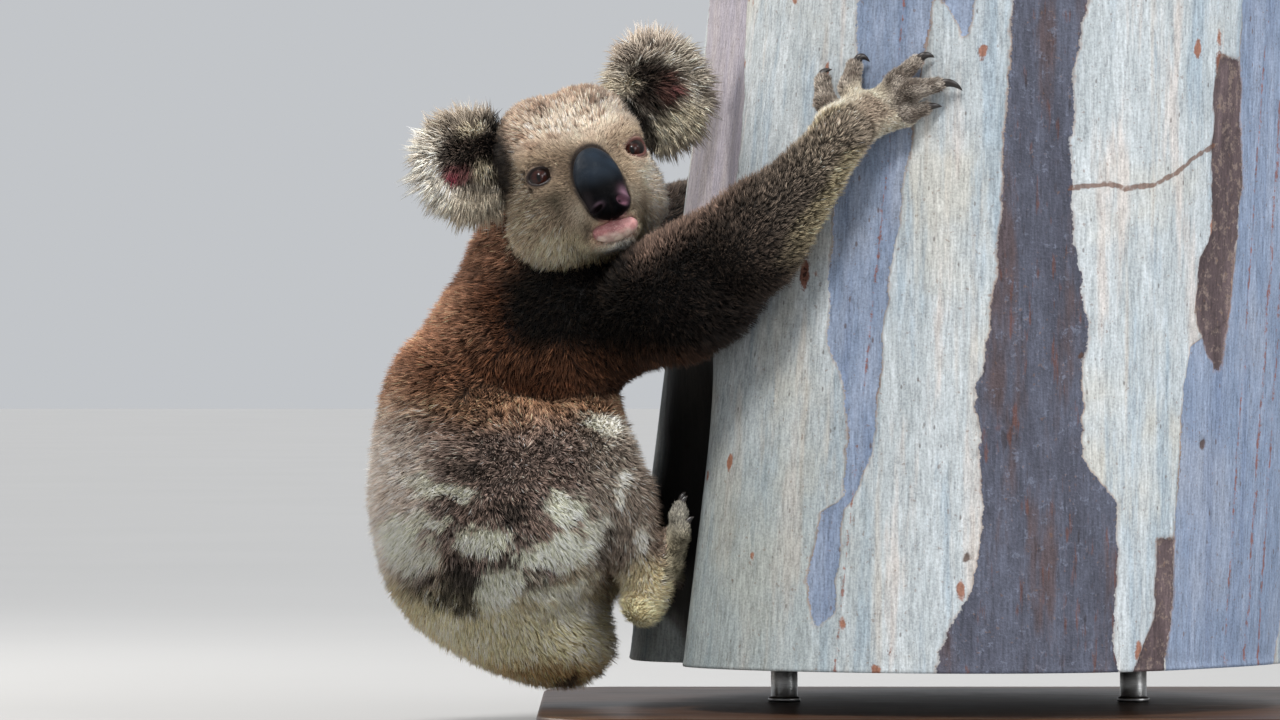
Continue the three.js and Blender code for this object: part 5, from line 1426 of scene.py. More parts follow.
attribute(trunk_me, "sd_rust", "FLOAT", tail(np.clip(rust, -30, 30)))
attribute(trunk_me, "knot", "FLOAT", tail(knot, 0))
g_wob = 1.6 * noise(np.stack([0 * Z1_, 0 * Z1_, Z1_], 1), 46, 91) + 0.5 * noise(flat * A(1, 1, 0.4), 9, 92)
# painted shade: the groove beside the animal is painted near black below about 400 mm, weaker near the bottom, and the
# bark left of it a little darker
groove = smooth(W1 + g_wob - 12 * smooth(-Z1_, -150, -70), 184, 190) * smooth(-W1 - 0.3 * g_wob, -209.5, -206) * smooth(-Z1_, -402, -345) * (0.35 + 0.65 * smooth(Z1_, 40, 135))
groove = np.maximum(groove, 0.06 * smooth(W1, 150, 180) * smooth(-W1, -212, -206) * smooth(-Z1_, -430, -330) * (0.5 + 0.5 * smooth(Z1_, 40, 135)))
attribute(trunk_me, "groove", "FLOAT", tail(groove, 0))
# painted shade: the bark on the animal's side of the trunk, below about 400 mm, is darker and greener
attribute(trunk_me, "green", "FLOAT", tail(smooth(-W1, -262, -225) * smooth(-Z1_, -420, -120) * (W1 > 180), 0))
attribute(trunk_me, "cut", "FLOAT", np.concatenate(cut))
attribute(trunk_me, "ring", "FLOAT", np.concatenate(caps_r))
layer = trunk_me.uv_layers.new(name="OFBake")
li = np.empty(len(trunk_me.loops), np.int32)
trunk_me.loops.foreach_get("vertex_index", li)
layer.data.foreach_set("uv", np.concatenate(caps_uv)[li].astype(np.float32).ravel())


def bark_material():
    m = Nodes("bark")
    at = m.place()
    tall = m.vec("MULTIPLY", at, (1.0, 1.0, 0.16))
    n_wide, n_mid, n_fine = m.noise(at, 9.0, 4.0), m.noise(tall, 60.0, 4.0, 0.6), m.noise(at, 520.0, 3.0, 0.6)
    n_edge = m.noise(at, 130.0, 4.0, 0.65)
    ragged = m.math("ADD", m.line(n_edge, 0.2, 0.8, -2.2, 2.2), m.line(n_fine, 0.3, 0.7, -0.5, 0.5))
    inside = lambda kind, soft=0.5: m.span(m.math("ADD", m.attr("sd_" + kind), ragged), -soft, soft)
    # cream wood-smooth bark, warmer in streaks
    c = m.mix(m.span(n_mid, 0.35, 0.68), tuple(srgb(205, 212, 216)), tuple(srgb(184, 192, 196)))
    c = m.mix(m.math("MULTIPLY", m.span(n_wide, 0.50, 0.70), 0.55), c, tuple(srgb(212, 206, 192)))
    streaks = m.noise(m.vec("MULTIPLY", at, (1.0, 1.0, 0.03)), 70.0, 3.0)
    c = m.mix(m.math("MULTIPLY", m.span(streaks, 0.56, 0.74), 0.35), c, tuple(srgb(206, 184, 160)))
    hue = m.noise(m.vec("MULTIPLY", at, (1.0, 1.0, 0.10)), 34.0, 4.0, 0.6)
    c = m.mix(m.math("MULTIPLY", m.span(hue, 0.52, 0.66), 0.7), c, tuple(srgb(160, 178, 192)))
    c = m.mix(m.math("MULTIPLY", m.span(hue, 0.46, 0.34), 0.6), c, tuple(srgb(220, 208, 200)))
    # painted shade on the animal's side of the trunk
    c = m.mix(m.math("MULTIPLY", m.attr("green"), 0.6), c, tuple(srgb(150, 160, 156)))
    spots = m.add("ShaderNodeTexVoronoi", {"Vector": m.vec("MULTIPLY", at, (1.0, 1.0, 0.5)), "Scale": 26.0}).outputs["Distance"]
    spots = m.math("ADD", spots, m.line(n_edge, 0.2, 0.8, -0.05, 0.05))
    c = m.mix(m.math("MULTIPLY", m.span(spots, 0.12, 0.08), 0.85), c, tuple(srgb(158, 92, 54)))
    marks = m.add("ShaderNodeTexVoronoi", {"Vector": m.vec("MULTIPLY", at, (1.0, 1.0, 0.33)), "Scale": 19.0}).outputs["Distance"]
    marks = m.math("ADD", marks, m.line(n_fine, 0.2, 0.8, -0.03, 0.03))
    c = m.mix(m.math("MULTIPLY", m.span(marks, 0.10, 0.07), 0.9), c, tuple(srgb(128, 66, 38)))
    c = m.mix(m.math("MULTIPLY", m.span(marks, 0.05, 0.02), 0.9), c, tuple(srgb(44, 24, 16)))
    small = m.add("ShaderNodeTexVoronoi", {"Vector": m.vec("MULTIPLY", at, (1.0, 1.0, 0.45)), "Scale": 85.0}).outputs["Distance"]
    c = m.mix(m.math("MULTIPLY", m.span(small, 0.10, 0.05), 0.6), c, tuple(srgb(88, 76, 70)))
    # plates
    blue = m.mix(m.span(n_mid, 0.35, 0.7), tuple(srgb(134, 150, 176)), tuple(srgb(156, 168, 190)))
    blue = m.mix(m.math("MULTIPLY", m.span(n_wide, 0.5, 0.7), 0.5), blue, tuple(srgb(168, 174, 188)))
    blue = m.mix(m.math("MULTIPLY", m.span(streaks, 0.50, 0.72), 0.5), blue, tuple(srgb(116, 132, 162)))
    blue = m.mix(m.math("MULTIPLY", m.span(small, 0.12, 0.06), 0.7), blue, tuple(srgb(104, 84, 80)))
    lilac = m.mix(m.span(n_mid, 0.35, 0.7), tuple(srgb(170, 164, 176)), tuple(srgb(186, 178, 182)))
    brown = m.mix(m.span(n_mid, 0.3, 0.7), tuple(srgb(74, 76, 90)), tuple(srgb(96, 100, 116)))
    brown = m.mix(m.math("MULTIPLY", m.span(m.noise(tall, 34.0, 4.0, 0.62), 0.50, 0.66), 0.7), brown, tuple(srgb(88, 68, 64)))
    brown = m.mix(m.math("MULTIPLY", m.span(n_edge, 0.57, 0.68), 0.6), brown, tuple(srgb(116, 122, 140)))
    brown = m.mix(m.math("MULTIPLY", m.span(m.noise(tall, 150.0, 3.0, 0.6), 0.60, 0.70), 0.65), brown, tuple(srgb(108, 66, 52)))
    brown = m.mix(m.math("MULTIPLY", m.span(m.noise(tall, 210.0, 2.0, 0.5), 0.64, 0.72), 0.6), brown, tuple(srgb(54, 46, 50)))
    dark = m.mix(m.span(n_mid, 0.3, 0.7), tuple(srgb(78, 64, 66)), tuple(srgb(112, 96, 98)))
    dark = m.mix(m.math("MULTIPLY", m.span(n_edge, 0.5, 0.65), 0.6), dark, tuple(srgb(150, 132, 122)))
    for kind, paint, rim in (("lilac", lilac, 0.5), ("blue", blue, 0.8), ("brown", brown, 0.7), ("dark", dark, 0.8)):
        d = m.math("ADD", m.attr("sd_" + kind), ragged)
        line = m.math("MULTIPLY", m.math("MULTIPLY", m.span(d, -3.0, -0.4), m.span(d, 1.4, 0.2)), rim)
        c = m.mix(m.math("MULTIPLY", line, m.line(n_mid, 0.35, 0.65, 0.15, 1.0)), c, tuple(srgb(146, 112, 92)))
        c = m.mix(m.span(d, -0.4, 0.5), c, paint)
    c = m.mix(m.math("MULTIPLY", m.span(m.math("ADD", m.attr("sd_rust"), ragged), -0.6, 0.9), 0.8), c, tuple(srgb(138, 74, 52)))
    c = m.mix(m.math("MULTIPLY", m.span(m.math("ADD", m.attr("sd_twig"), m.line(n_edge, 0.2, 0.8, -1.4, 1.4)), -0.4, 0.6), 0.8), c, tuple(srgb(112, 76, 58)))
    c = m.mix(m.math("MULTIPLY", m.span(m.attr("knot"), 0.25, 0.6), 0.85), c, tuple(srgb(84, 58, 44)))
    dust = m.noise(at, 260.0, 2.0)
    c = m.mix(m.math("MULTIPLY", m.span(dust, 0.66, 0.72), 0.5), c, tuple(srgb(110, 82, 64)))
    grain = m.noise(m.vec("MULTIPLY", at, (1.0, 1.0, 0.12)), 420.0, 3.0, 0.6)
    k = m.math("ADD", m.line(grain, 0.3, 0.7, 0.52, 0.90), m.line(n_fine, 0.3, 0.7, -0.15, 0.15))
    c = m.vec("MULTIPLY", c, m.add("ShaderNodeCombineXYZ", {0: k, 1: k, 2: k}).outputs[0])
    # painted shade in the groove, from the groove mask
    shady = m.mix(m.span(m.noise(m.vec("MULTIPLY", at, (1.0, 1.0, 0.06)), 130.0, 4.0, 0.65), 0.35, 0.65), tuple(srgb(20, 16, 14)), tuple(srgb(58, 50, 46)))
    c = m.mix(m.math("MULTIPLY", m.span(m.attr("groove"), 0.02, 0.5), 0.8), c, shady)
    c = m.mix(m.math("MULTIPLY", m.span(m.attr("groove"), 0.45, 0.95), 0.9), c, tuple(srgb(14, 11, 9)))
    # sawn ends
    ring = m.attr("ring")
    wob = m.math("ADD", m.math("MULTIPLY", ring, 150.0), m.line(m.noise(at, 14.0, 3.0), 0.0, 1.0, -9.0, 9.0))
    late = m.math("SINE", wob)
    wood = m.mix(m.span(late, -0.4, 1.0), tuple(srgb(176, 163, 142)), tuple(srgb(150, 134, 114)))
    wood = m.mix(m.span(ring, 0.62, 0.80), m.mix(m.span(late, -0.4, 1.0), tuple(srgb(148, 124, 106)), tuple(srgb(126, 102, 86))), wood)
    wood = m.mix(m.span(ring, 0.965, 0.985), wood, tuple(srgb(92, 66, 50)))
    wood = m.mix(m.math("MULTIPLY", m.span(m.noise(at, 60.0, 4.0), 0.5, 0.7), 0.25), wood, tuple(srgb(120, 92, 70)))
    cut = m.attr("cut")
    c = m.mix(cut, c, wood)
    h = m.math("ADD", m.math("MULTIPLY", n_fine, 0.35), m.math("MULTIPLY", n_mid, 0.8))
    h = m.math("ADD", h, m.math("MULTIPLY", grain, 0.5))
    h = m.math("ADD", h, m.math("MULTIPLY", m.span(m.math("ADD", m.attr("sd_brown"), ragged), -0.4, 0.6), m.math("MULTIPLY", n_edge, 1.6)))
    for kind in ("blue", "lilac", "dark"):
        h = m.math("SUBTRACT", h, m.math("MULTIPLY", m.span(m.math("ADD", m.attr("sd_" + kind), ragged), -0.5, 0.5), 0.9))
    m.set(Base_Color=c, Roughness=m.line(n_mid, 0.3, 0.7, 0.62, 0.82), Specular_IOR_Level=0.3)
    m.set(Normal=m.bump(h, 0.55, 0.0012))
    return m.mat


piece(add_object("trunk", trunk_me, bark_material()), "bark", "perch_trunk")


# ------------------------------------------------------------------ the stand
def lathe_outline(outlines):
    """A closed solid from stacked outlines of equal length, capped at both ends."""
    n = len(outlines[0])
    V = np.concatenate(outlines + [outlines[0].mean(0)[None], outlines[-1].mean(0)[None]])
    j = np.arange(n)
    jn = (j + 1) % n
    quads = np.concatenate([np.stack([k * n + j, k * n + jn, (k + 1) * n + jn, (k + 1) * n + j], 1) for k in range(len(outlines) - 1)])
    m = len(outlines) * n
    tri = np.concatenate([np.stack([np.full(n, m), jn, j], 1), np.stack([np.full(n, m + 1), m - n + j, m - n + jn], 1)])
    return V, quads, tri


def rounded_rect(w, d, r, z, inset):
    out = []
    for cx, cy, a0 in ((1, 1, 0), (-1, 1, 90), (-1, -1, 180), (1, -1, 270)):
        for a in np.linspace(a0, a0 + 90, 19):
            out.append((cx * (w / 2 - r) + (r - inset) * math.cos(rad(a)), cy * (d / 2 - r) + (r - inset) * math.sin(rad(a)), z))
    return np.array(out)


rim = [(0.0, 1.5), (0.8, 0.6), (1.6, 0.0), (20.6, 0.0), (21.9, 0.25), (22.9, 0.9), (23.6, 1.9), (24.0, 3.2), (24.0, 4.2)]
V3, Q3, T3 = lathe_outline([rounded_rect(720, 580, 70, z, i) for z, i in rim])
base_me = mesh_of("plinth", V3, [Q3, T3])
piece(add_object("plinth", base_me, MAT["timber"]), "base_timber", "stand_base")
ROD = [(24.4, 13.2), (24.8, 13.9), (27.6, 13.9), (28.3, 13.2), (28.5, 12.0), (29.3, 11.5), (56.0, 11.5), (56.6, 12.0), (56.9, 13.2), (57.5, 13.9), (60.2, 13.9), (60.6, 13.2)]
for name, x in (("stand_rod_a", -150), ("stand_rod_b", 150)):
    q = np.arange(48) * 2 * math.pi / 48
    V3, Q3, T3 = lathe_outline([np.stack([x + r * np.cos(q), r * np.sin(q), np.full(48, z)], 1) for z, r in ROD])
    piece(add_object(name + "_turned", mesh_of(name, V3, [Q3, T3]), MAT["steel"]), "rod_steel", name)

# ------------------------------------------------------------------ floor, light, camera
floor_m = Nodes("floor")
fa = floor_m.place()
floor_m.set(Base_Color=floor_m.mix(floor_m.noise(fa, 1.5, 3.0), (0.36, 0.36, 0.36), (0.39, 0.39, 0.39)), Roughness=0.6, Specular_IOR_Level=0.2)
fm = mesh_of("floor", A((-40, -40, 0), (40, -40, 0), (40, 40, 0), (-40, 40, 0)), np.array([[0, 1, 2, 3]]), 1.0)
floor = add_object("floor", fm, floor_m.mat)


def lamp(name, at, to, size, power, colour):
    d = bpy.data.lights.new(name, "AREA")
    d.shape, d.size, d.energy, d.color = "DISK", size, power, colour
    o = bpy.data.objects.new(name, d)
    o.location = at
    o.rotation_euler = (Vector(to) - Vector(at)).to_track_quat("-Z", "Y").to_euler()
    bpy.context.scene.collection.objects.link(o)


def sun(name, towards, angle, power, colour):
    d = bpy.data.lights.new(name, "SUN")
    d.energy, d.color, d.angle = power, colour, rad(angle)
    o = bpy.data.objects.new(name, d)
    o.rotation_euler = (-Vector(towards)).to_track_quat("-Z", "Y").to_euler()
    bpy.context.scene.collection.objects.link(o)


sun("key", (-0.16, -0.82, 1.20), 14, 3.0, (1.0, 0.98, 0.95))
sun("cross", (1.1, -0.75, 0.50), 40, 1.9, (0.96, 0.98, 1.0))
lamp("rim", (-2.2, 0.9, 1.6), (-0.35, 0, 0.35), 1.0, 50, (1.0, 0.95, 0.88))
world = bpy.data.worlds.new("studio")
bpy.context.scene.world = world
world.use_nodes = True
world.node_tree.nodes["Background"].inputs[0].default_value = (0.90, 0.93, 0.97, 1)
world.node_tree.nodes["Background"].inputs[1].default_value = 0.60
bpy.context.scene.view_settings.view_transform = "Standard"
cam = bpy.data.cameras.new("camera")
cam.lens, cam.sensor_width, cam.sensor_fit, cam.clip_end = 198.53, 36.0, "HORIZONTAL", 200.0
cam_ob = bpy.data.objects.new("camera", cam)
cam_ob.location = (-0.274, -6.068, 0.318)
cam_ob.rotation_euler = (rad(90), 0, 0)
bpy.context.scene.collection.objects.link(cam_ob)
bpy.context.scene.camera = cam_ob


# ------------------------------------------------------------------ the coat
def lie_at(P, part, lie):
    """Direction the hair grows, before it is laid on the surface."""
    H = to_head(P)
    B = to_body(P)
    out = lie.copy()
    names = np.array(PARTS)[part]
    # the flank below the fold is combed back and down
    flank = np.isin(names, ["rump", "thigh_r", "thigh_l"]) * smooth(B[:, 2], 190, 260)
    out += (-0.75 * flank)[:, None] * F
    for side, e in EYES.items():
        m = (names == "lid") & (np.linalg.norm(P - e, axis=1) < 24)
        d = P[m] - e
        ax_, ay_, o = eye_axes(side)
        out[m] = unit(d - np.outer(d @ o, o)) - 0.5 * HC
    hd = np.isin(names, ["head", "face", "cheek", "ruff", "chin"])
    if hd.any():
        q = H[hd]
        d = q - A(0, -10, 22)
        flow = unit(d * A(1.0, 1.0, 0.6))
        a, u, c = q.T
        flow[:, 2] -= 0.35
        # the bridge runs up, the brow fans out, the jaw sweeps back and down
        down = smooth(-c, 40, 85) * smooth(-u, -30, 40)
        flow = flow * (1 - down)[:, None] + A(0, -0.9, -0.35) * down[:, None]
        jaw = smooth(-u, 20, 60)
        flow += A(0, -0.5, -0.3) * jaw[:, None]
        out[hd] = flow @ HB
    return out


def on_surface(v, N):
    v = v - N * (v * N).sum(1, keepdims=True)
    bad = np.linalg.norm(v, axis=1) < 0.05
    v[bad] = np.cross(N[bad], A(0.3, 1, 0.2))
    return unit(v)


fV = V[T]
f_area = 0.5 * np.linalg.norm(np.cross(fV[:, 1] - fV[:, 0], fV[:, 2] - fV[:, 0]), axis=1)
f_mid = fV.mean(1)
names = np.array(PARTS)
f_part = np.where(PART[T[:, 1]] == PART[T[:, 2]], PART[T[:, 1]], PART[T[:, 0]])
f_clear = trunk_clear(f_mid)
f_bare = bareness(f_mid)

# by part: hairs a square mm, length as a share of the coat's depth, least length, width, lift in degrees, how far it wanders
STYLE = {
    "thorax": (0.78, 0.78, 6.5, 1.12, 62, 0.85), "neck": (0.78, 0.78, 6.5, 1.12, 62, 0.85), "rump": (0.72, 0.78, 6.5, 1.2, 62, 0.95),
    "thigh": (0.78, 0.78, 6.5, 1.15, 62, 0.95), "shank": (0.92, 0.82, 5, 1.0, 52, 0.50), "foot": (1.35, 1.1, 4.2, 0.9, 34, 0.30),
    "toe": (1.8, 1.2, 3.6, 0.75, 30, 0.25), "upperarm": (0.80, 0.78, 6, 1.12, 62, 0.85), "forearm": (1.0, 0.80, 4.6, 0.95, 54, 0.65),
    "hand": (1.35, 1.2, 4.8, 0.85, 34, 0.32), "digit": (1.7, 1.3, 4.4, 0.75, 32, 0.28),
    "head": (1.25, 0.86, 4.6, 0.8, 44, 0.45), "face": (2.2, 1.1, 3.6, 0.62, 34, 0.32), "cheek": (1.2, 1.0, 5.2, 0.85, 40, 0.42),
    "ruff": (1.1, 0.86, 5.2, 0.9, 34, 0.40), "chin": (1.9, 1.2, 4.0, 0.65, 40, 0.35),
    "lid": (4.0, 0, 2.6, 0.45, 24, 0.15), "ear_back": (0.48, 0, 12, 1.0, 34, 0.3), "ear_rim": (1.35, 0, 24, 0.9, 20, 0.3), "ear_in": (0.62, 0, 17, 0.8, 36, 0.3),
}
SHORT = ("foot", "toe", "hand", "digit", "face", "chin", "lid")
stem = lambda n: n if n in STYLE else n.split("_")[0]
f_style = np.array([stem(n) if stem(n) in STYLE else "" for n in names])[f_part]
dens = np.zeros(len(T))
for k, st in STYLE.items():
    dens[f_style == k] = st[0]
dens[f_clear < 1.75] = 0
# what presses towards the bark is seen by nobody, and carries less
f_axis = unit(f_mid * A(1, 1, 0) - np.stack([LEAN * (f_mid[:, 2] - Z0), 0 * f_clear, 0 * f_clear], 1))
f_away = (unit(np.cross(fV[:, 1] - fV[:, 0], fV[:, 2] - fV[:, 0])) * f_axis).sum(1)
dens *= 1 - 0.72 * smooth(-f_away, 0.15, 0.5) * smooth(-f_clear, -90, -45)
dens *= np.where(np.isin(f_style, ["thorax", "neck", "rump", "thigh", "upperarm", "forearm"]), 0.82, 1.0) * (1 + 0.45 * (1 - f_bare))
for side, e in EYES.items():
    ax_, ay_, o = eye_axes(side)
    a_, b_ = OPENING[side]
    d = f_mid - e
    r = np.linalg.norm(d, axis=1)
    q = np.hypot(d @ ax_ / a_, d @ ay_ / b_) * 10.6 / np.maximum(r, 1e-6)
    dens[(r < 20) & (d @ o > 0) & (q < (1.03 if side == "r" else 1.09))] = 0
    dens[(r < 10.9) | ((f_style == "lid") & (r < 30) & (d @ o < 4))] = 0
near_lip = np.linalg.norm(f_mid - head(0, -60, 15), axis=1) < 34
dens[(lip_distance(f_mid) < 0.2) & near_lip] = 0
H = to_head(f_mid)
bare_chin = np.exp(-((H[:, 0] + 1) / 18) ** 4 - ((H[:, 1] + 66) / 7) ** 4) * (H[:, 2] > 2)
dens *= 1 - 0.3 * bare_chin
dens[(nose_field(f_mid) < 0.1) & (np.linalg.norm(f_mid - head(0, -27, 20), axis=1) < 45)] = 0
DENSITY = 1.0
want = f_area * dens * DENSITY
count = np.floor(want + rng.random(len(T))).astype(int)
idx = np.repeat(np.arange(len(T)), count)
b = rng.random((len(idx), 2))
flip = b.sum(1) > 1
b[flip] = 1 - b[flip]
bary = np.concatenate([1 - b.sum(1, keepdims=True), b], 1)
root = (V[T[idx]] * bary[:, :, None]).sum(1)
nor = unit((N[T[idx]] * bary[:, :, None]).sum(1))
depth = (DEPTH[T[idx]] * bary).sum(1) * bareness(root)
style = f_style[idx]
part = f_part[idx]
lie = unit(lie_at(root, part, (LIE[T[idx]] * bary[:, :, None]).sum(1)))
n = len(root)
is_ear = np.char.startswith(style.astype(str), "ear")
short = np.isin(style, SHORT)
table = {s: k for k, s in enumerate(STYLE)}
par = np.array(list(STYLE.values()))[np.array([table[s] for s in style])]
for e in EARS:
    ec, ex, ey, ez = ear_frame(e)
    near = is_ear & (np.linalg.norm(root - ec, axis=1) < 80)
    d = root[near] - ec
    lie[near] = unit(np.outer(d @ ex / e["wide"], ex) + np.outer(d @ ey / e["high"], ey)) + 0.10 * DOWN
    depth[near] = 8
size = np.where(short, 4.0, 7.0)
curl = 0.8 * np.stack([noise(root, 4.5, 201 + k) for k in range(3)], 1) + 0.6 * np.stack([noise(root, 13.0, 211 + k) for k in range(3)], 1)
lie = unit(lie + par[:, 5:6] * curl + 0.14 * rng.standard_normal((n, 3)))
flat = on_surface(lie, nor)
least = par[:, 2] * np.where(is_ear, 1, 0.62 + 0.38 * smooth(depth, 1.5, 5))
length = np.maximum(depth * par[:, 1], least) * (0.80 + 0.40 * rng.random(n))
B = to_body(root)
fold = np.isin(style, ["thorax", "upperarm"]) & (B[:, 2] < 322) & (B[:, 2] > 270)
length = np.where(fold, length * (0.62 + 0.38 * smooth(B[:, 2], 290, 322)), length)
width = par[:, 3] * (0.8 + 0.4 * rng.random(n))
lift = np.radians(np.clip(par[:, 4] + 12 * rng.standard_normal(n), 12, 84))
fore_dir = nor * np.sin(lift)[:, None] + flat * np.cos(lift)[:, None]
aft_dir = unit(fore_dir + 0.35 * flat + 0.10 * DOWN)
# the fringe of the ears leaves the rim outwards, whatever way the rim's own surface faces
for e in EARS:
    ec, ex, ey, ez = ear_frame(e)
    s = 1 if e["name"] == "r" else -1  # +1 where the head lies towards +ex
    rim = np.flatnonzero((style == "ear_rim") & (np.linalg.norm(root - ec, axis=1) < 80))
    d = root[rim] - ec
    x, y = d @ ex / e["wide"], d @ ey / e["high"]
    r = np.maximum(np.hypot(x, y), 0.05)
    out = unit(np.outer(x / r, ex) + np.outer(y / r, ey))
    away = -ex * s
    wav = np.stack([noise(root[rim], 11, 301 + k) for k in range(3)], 1)
    fore_dir[rim] = unit(out + ez * (0.10 + 0.25 * noise(root[rim], 8, 311))[:, None] + 0.17 * rng.standard_normal((len(rim), 3)) + 0.42 * wav + nor[rim] * 0.2)
    aft_dir[rim] = unit(out + 0.22 * away + 0.10 * rng.standard_normal((len(rim), 3)) + 0.6 * wav + DOWN * 0.42)
    gap = (1.0 - r) * np.hypot(x / r * e["wide"], y / r * e["high"])
    length[rim] = np.clip(gap, 6, 30) * (0.55 + 0.72 * rng.random(len(rim)))
    inn = np.flatnonzero((style == "ear_in") & (np.linalg.norm(root - ec, axis=1) < 80))
    x, y = (root[inn] - ec) @ ex / e["wide"] * s, (root[inn] - ec) @ ey / e["high"]
    # long pale hairs from below and from the outer side lie across the bowl
    outw = unit(np.outer(x * s, ex) + np.outer(y, ey) + ez * 0.5)
    comb = unit(away * 0.55 + DOWN * 0.55 + ez * 0.35)
    upw = smooth(y, 0.05, 0.30)[:, None]
    fore_dir[inn] = unit(outw * 0.55 + comb * (1 - upw) + (away * 0.6 + ez * 0.5) * upw + 0.2 * rng.standard_normal((len(inn), 3)))
    aft_dir[inn] = unit(fore_dir[inn] + outw * 0.2 + DOWN * 0.35 + away * 0.2)
    length[inn] *= 0.75 + 0.7 * rng.random(len(inn))
tip0 = root + (fore_dir * 0.5 + aft_dir * 0.5) * length[:, None]

# locks: neighbours lean together to a point, and each lock strays a little
n_locks = max(int(n / 8), 10)
lock_at = rng.choice(n, n_locks, replace=False)
tree = kdtree.KDTree(n_locks)
for k, q in enumerate(root[lock_at]):
    tree.insert(q, k)
tree.balance()
lock = np.array([tree.find(q)[1] for q in root])
stray = rng.standard_normal((n_locks, 3))
lock_tip = (tip0[lock_at] + stray * (0.16 * length[lock_at])[:, None])[lock]
same = (np.linalg.norm(root[lock_at][lock] - root, axis=1) < 9) & ((nor[lock_at][lock] * nor).sum(1) > 0.5)
pull = np.where(same, np.where(is_ear, 0.32, np.where(short, 0.26, 0.36)), 0.0)
lock_len = np.where(is_ear, (0.74 + 0.5 * rng.random(n_locks))[lock], (0.84 + 0.30 * rng.random(n_locks))[lock])
lock_tone = rng.standard_normal(n_locks)[lock]
tip_shift = (lock_tip - tip0) * pull[:, None]
mid = root + fore_dir * (length * 0.5 * lock_len)[:, None] + tip_shift * 0.35
tip = root + (fore_dir * 0.5 + aft_dir * 0.5) * (length * lock_len)[:, None] + tip_shift
# keep clear of the bark
for q in (mid, tip):
    c = trunk_clear(q)
    m = c < 0.9
    x = q[m, 0] - LEAN * (q[m, 2] - Z0)
    rr = np.hypot(x, q[m, 1])
    push = 0.9 - c[m]
    q[m, 0] += x / rr * push
    q[m, 1] += q[m, 1] / rr * push
# keep clear of the openings of the eyes
for side, e in EYES.items():
    ax_, ay_, o = eye_axes(side)
    a_, b_ = OPENING[side]
    for q in (mid, tip):
        d = q - e
        m = np.flatnonzero((np.linalg.norm(d, axis=1) < 24) & (d @ o > 0))
        x, y = d[m] @ ax_ / (a_ + 0.9), d[m] @ ay_ / (b_ + 0.9)
        r = np.maximum(np.hypot(x, y), 0.05)
        need = np.maximum(1 - r, 0) / r
        q[m] += ax_ * (x * need * (a_ + 0.9))[:, None] + ay_ * (y * need * (b_ + 0.9))[:, None]

# colour
jitter = np.clip(0.75 * rng.standard_normal(n), -1.5, 1.5)
base_col = tint(root * 0.55 + tip * 0.45, part, 0.6 * jitter + 0.25 * lock_tone)
tone = np.exp(np.where(short, 0.22, np.where(is_ear, 0.28, 0.46)) * jitter + np.where(short, 0.10, np.where(is_ear, 0.20, 0.29)) * lock_tone)
grey = base_col.mean(1, keepdims=True)
pale = smooth(grey, 0.10, 0.60)
# the root end of each hair is darker: partly the hair's own colour, partly painted shade deep in the coat
c_root = base_col * (0.22 + 0.72 * pale)
c_mid = base_col * (0.80 + 0.26 * pale) * tone[:, None]
c_tip = base_col * (1.50 - 0.10 * pale) * tone[:, None] + 0.002
roll = rng.random(n)
silver = (roll > 0.84) & ~short
c_tip[silver] = c_tip[silver] * (2.0 - 0.8 * pale[silver]) + 0.026 * A(1.0, 0.70, 0.46)
dark_hair = (roll < 0.16) & ~is_ear
c_mid[dark_hair] *= 0.5
c_tip[dark_hair] *= 0.5
c_root[is_ear] = base_col[is_ear] * 0.72
c_root[short] = base_col[short] * 0.55
shade = np.clip(np.stack([c_root, c_mid, c_tip]), 0.0004, 0.92)
across = unit(np.cross(nor, fore_dir) + 0.25 * rng.standard_normal((n, 3)))


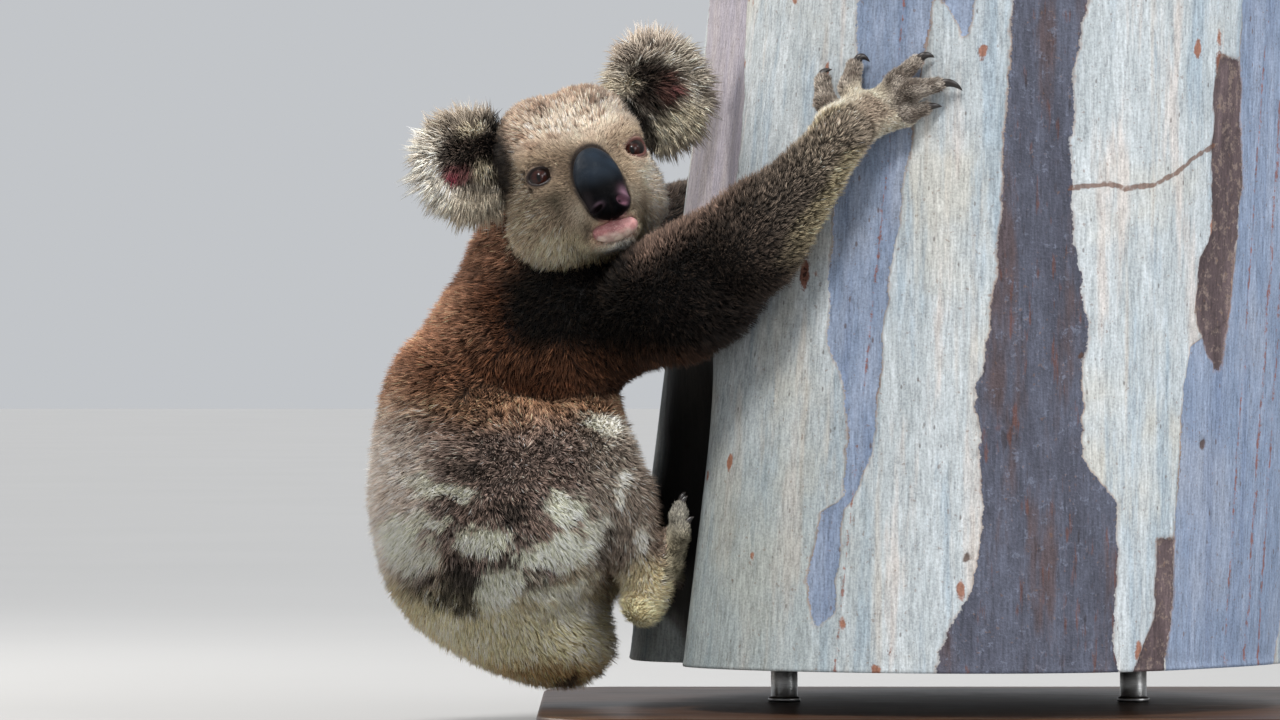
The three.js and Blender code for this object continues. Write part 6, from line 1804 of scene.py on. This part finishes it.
def blades(sel, long):
    """Joined closed blades. Long ones have a middle ring: 7 points, 10 faces; short ones 4 points, 4 faces."""
    m = len(sel)
    d0 = fore_dir[sel] if long else unit(tip[sel] - root[sel])
    W = unit(across[sel] - d0 * (across[sel] * d0).sum(1, keepdims=True))
    Th = np.cross(d0, W)
    w = width[sel][:, None] / 2
    ring = [(-1.0, -0.1), (1.0, -0.1), (0.0, 0.62)]
    foot = root[sel] - nor[sel] * 0.5
    P0 = np.stack([foot + W * w * x * (0.75 if long else 1) + Th * w * y * 0.8 for x, y in ring], 1)
    if long:
        d1 = unit(tip[sel] - mid[sel])
        W1_ = unit(W - d1 * (W * d1).sum(1, keepdims=True))
        Th1 = np.cross(d1, W1_)
        P1 = np.stack([mid[sel] + W1_ * w * x + Th1 * w * y * 0.7 for x, y in ring], 1)
        P = np.concatenate([P0, P1, tip[sel][:, None]], 1)
        F_ = np.array([(0, 2, 1), (0, 1, 4), (0, 4, 3), (1, 2, 5), (1, 5, 4), (2, 0, 3), (2, 3, 5), (3, 4, 6), (4, 5, 6), (5, 3, 6)])
        row = np.array([0, 0, 0, 1, 1, 1, 2])
        du = np.array([-1, 1, 0, -1, 1, 0, 0]) * 0.0012
        dv = np.array([-1.5, -1.5, -0.9, 0, 0, 0.5, 1.5]) * 0.001
    else:
        P = np.concatenate([P0, tip[sel][:, None]], 1)
        F_ = np.array([(0, 2, 1), (0, 1, 3), (1, 2, 3), (2, 0, 3)])
        row = np.array([0, 0, 0, 2])
        du = np.array([-1, 1, 0, 0]) * 0.0012
        dv = np.array([-1.4, -1.4, -0.2, 1.4]) * 0.001
    nv = P.shape[1]
    faces = (F_[None] + (np.arange(m) * nv)[:, None, None]).reshape(-1, 3)
    # unwrap of the skin: six faces of a box round this piece, each tuft a small patch at its root's place
    Nn, R_ = nor[sel], root[sel]
    ax = np.abs(Nn).argmax(1)
    sign = Nn[np.arange(m), ax] > 0
    lo_, hi_ = R_.min(0), R_.max(0)
    q = (R_ - lo_) / np.maximum((hi_ - lo_).max(), 1e-6)
    uu = np.where(ax == 0, q[:, 1], q[:, 0])
    vv = np.where(ax == 2, q[:, 1], q[:, 2])
    cell = ax * 2 + sign
    cu = (cell % 3 + 0.02 + 0.96 * uu) / 3
    cv = (cell // 3 + 0.02 + 0.96 * vv) / 2
    UV = np.stack([cu[:, None] + du, cv[:, None] + dv], -1).reshape(-1, 2)
    C = shade[row][:, sel].transpose(1, 0, 2).reshape(-1, 3)
    offs = rng.random(m) * 50
    across_c = np.where(np.arange(nv) % 3 == 0, 0, np.where(np.arange(nv) % 3 == 1, 1, 0.5))
    Lc = np.stack([np.broadcast_to(across_c * 2.0, (m, nv)) + offs[:, None], row[None] * (length[sel] / 2)[:, None] * 0.3 + offs[:, None], np.broadcast_to(offs[:, None], (m, nv))], -1)
    return P.reshape(-1, 3), faces, UV, C, Lc.reshape(-1, 3)


def coat_piece(name, sel, long, slot):
    P, Fc, UV, C, Lc = blades(sel, long)
    me = mesh_of(name, P, Fc)
    attribute(me, "tint", "FLOAT_COLOR", np.concatenate([C, np.ones((len(C), 1))], 1))
    attribute(me, "lie", "FLOAT_VECTOR", Lc)
    layer = me.uv_layers.new(name="OFBake")
    layer.data.foreach_set("uv", UV[Fc.ravel()].astype(np.float32).ravel())
    piece(add_object(name, me, MAT["fur"]), slot)


def region_of(nm):
    s = stem(nm)
    if s in ("thorax", "neck"):
        return "back"
    if s == "rump":
        return "rump"
    if s in ("thigh", "shank"):
        return "leg_" + nm[-1]
    if s in ("foot", "toe"):
        return "foot_" + nm[-1]
    if s in ("upperarm", "forearm"):
        return "arm_" + nm[-1]
    if s in ("hand", "digit"):
        return "hand_" + nm[-1]
    if s in ("head", "cheek", "ruff"):
        return "head"
    if s.startswith("ear"):
        return "ears"
    return "face"


region = np.array([region_of(q) for q in PARTS])[part]
report, total_faces = {}, 0
for reg in sorted(set(region)):
    sel = np.flatnonzero(region == reg)
    long = reg == "ears"
    most = 19500 if long else 49000
    pieces_n = max(1, math.ceil(len(sel) / most))
    key = to_body(root[sel])[:, 1] if reg in ("back", "rump", "head", "ears") else root[sel][:, 2]
    order = sel[np.argsort(key, kind="stable")]
    for k, chunk in enumerate(np.array_split(order, pieces_n)):
        coat_piece("coat_%s%s" % (reg, "_" + "abcdefghij"[k] if pieces_n > 1 else ""), chunk, long, "ear_fur" if reg == "ears" else "fur")
    report[reg] = (len(sel), float(f_area[(dens > 0) & (np.array([region_of(q) for q in PARTS])[f_part] == reg)].sum()))
    total_faces += len(sel) * (10 if long else 4)
print("tufts", n, "coat faces", total_faces, "skin", len(T), "bark", len(trunk_me.polygons) * 2)
print(report)
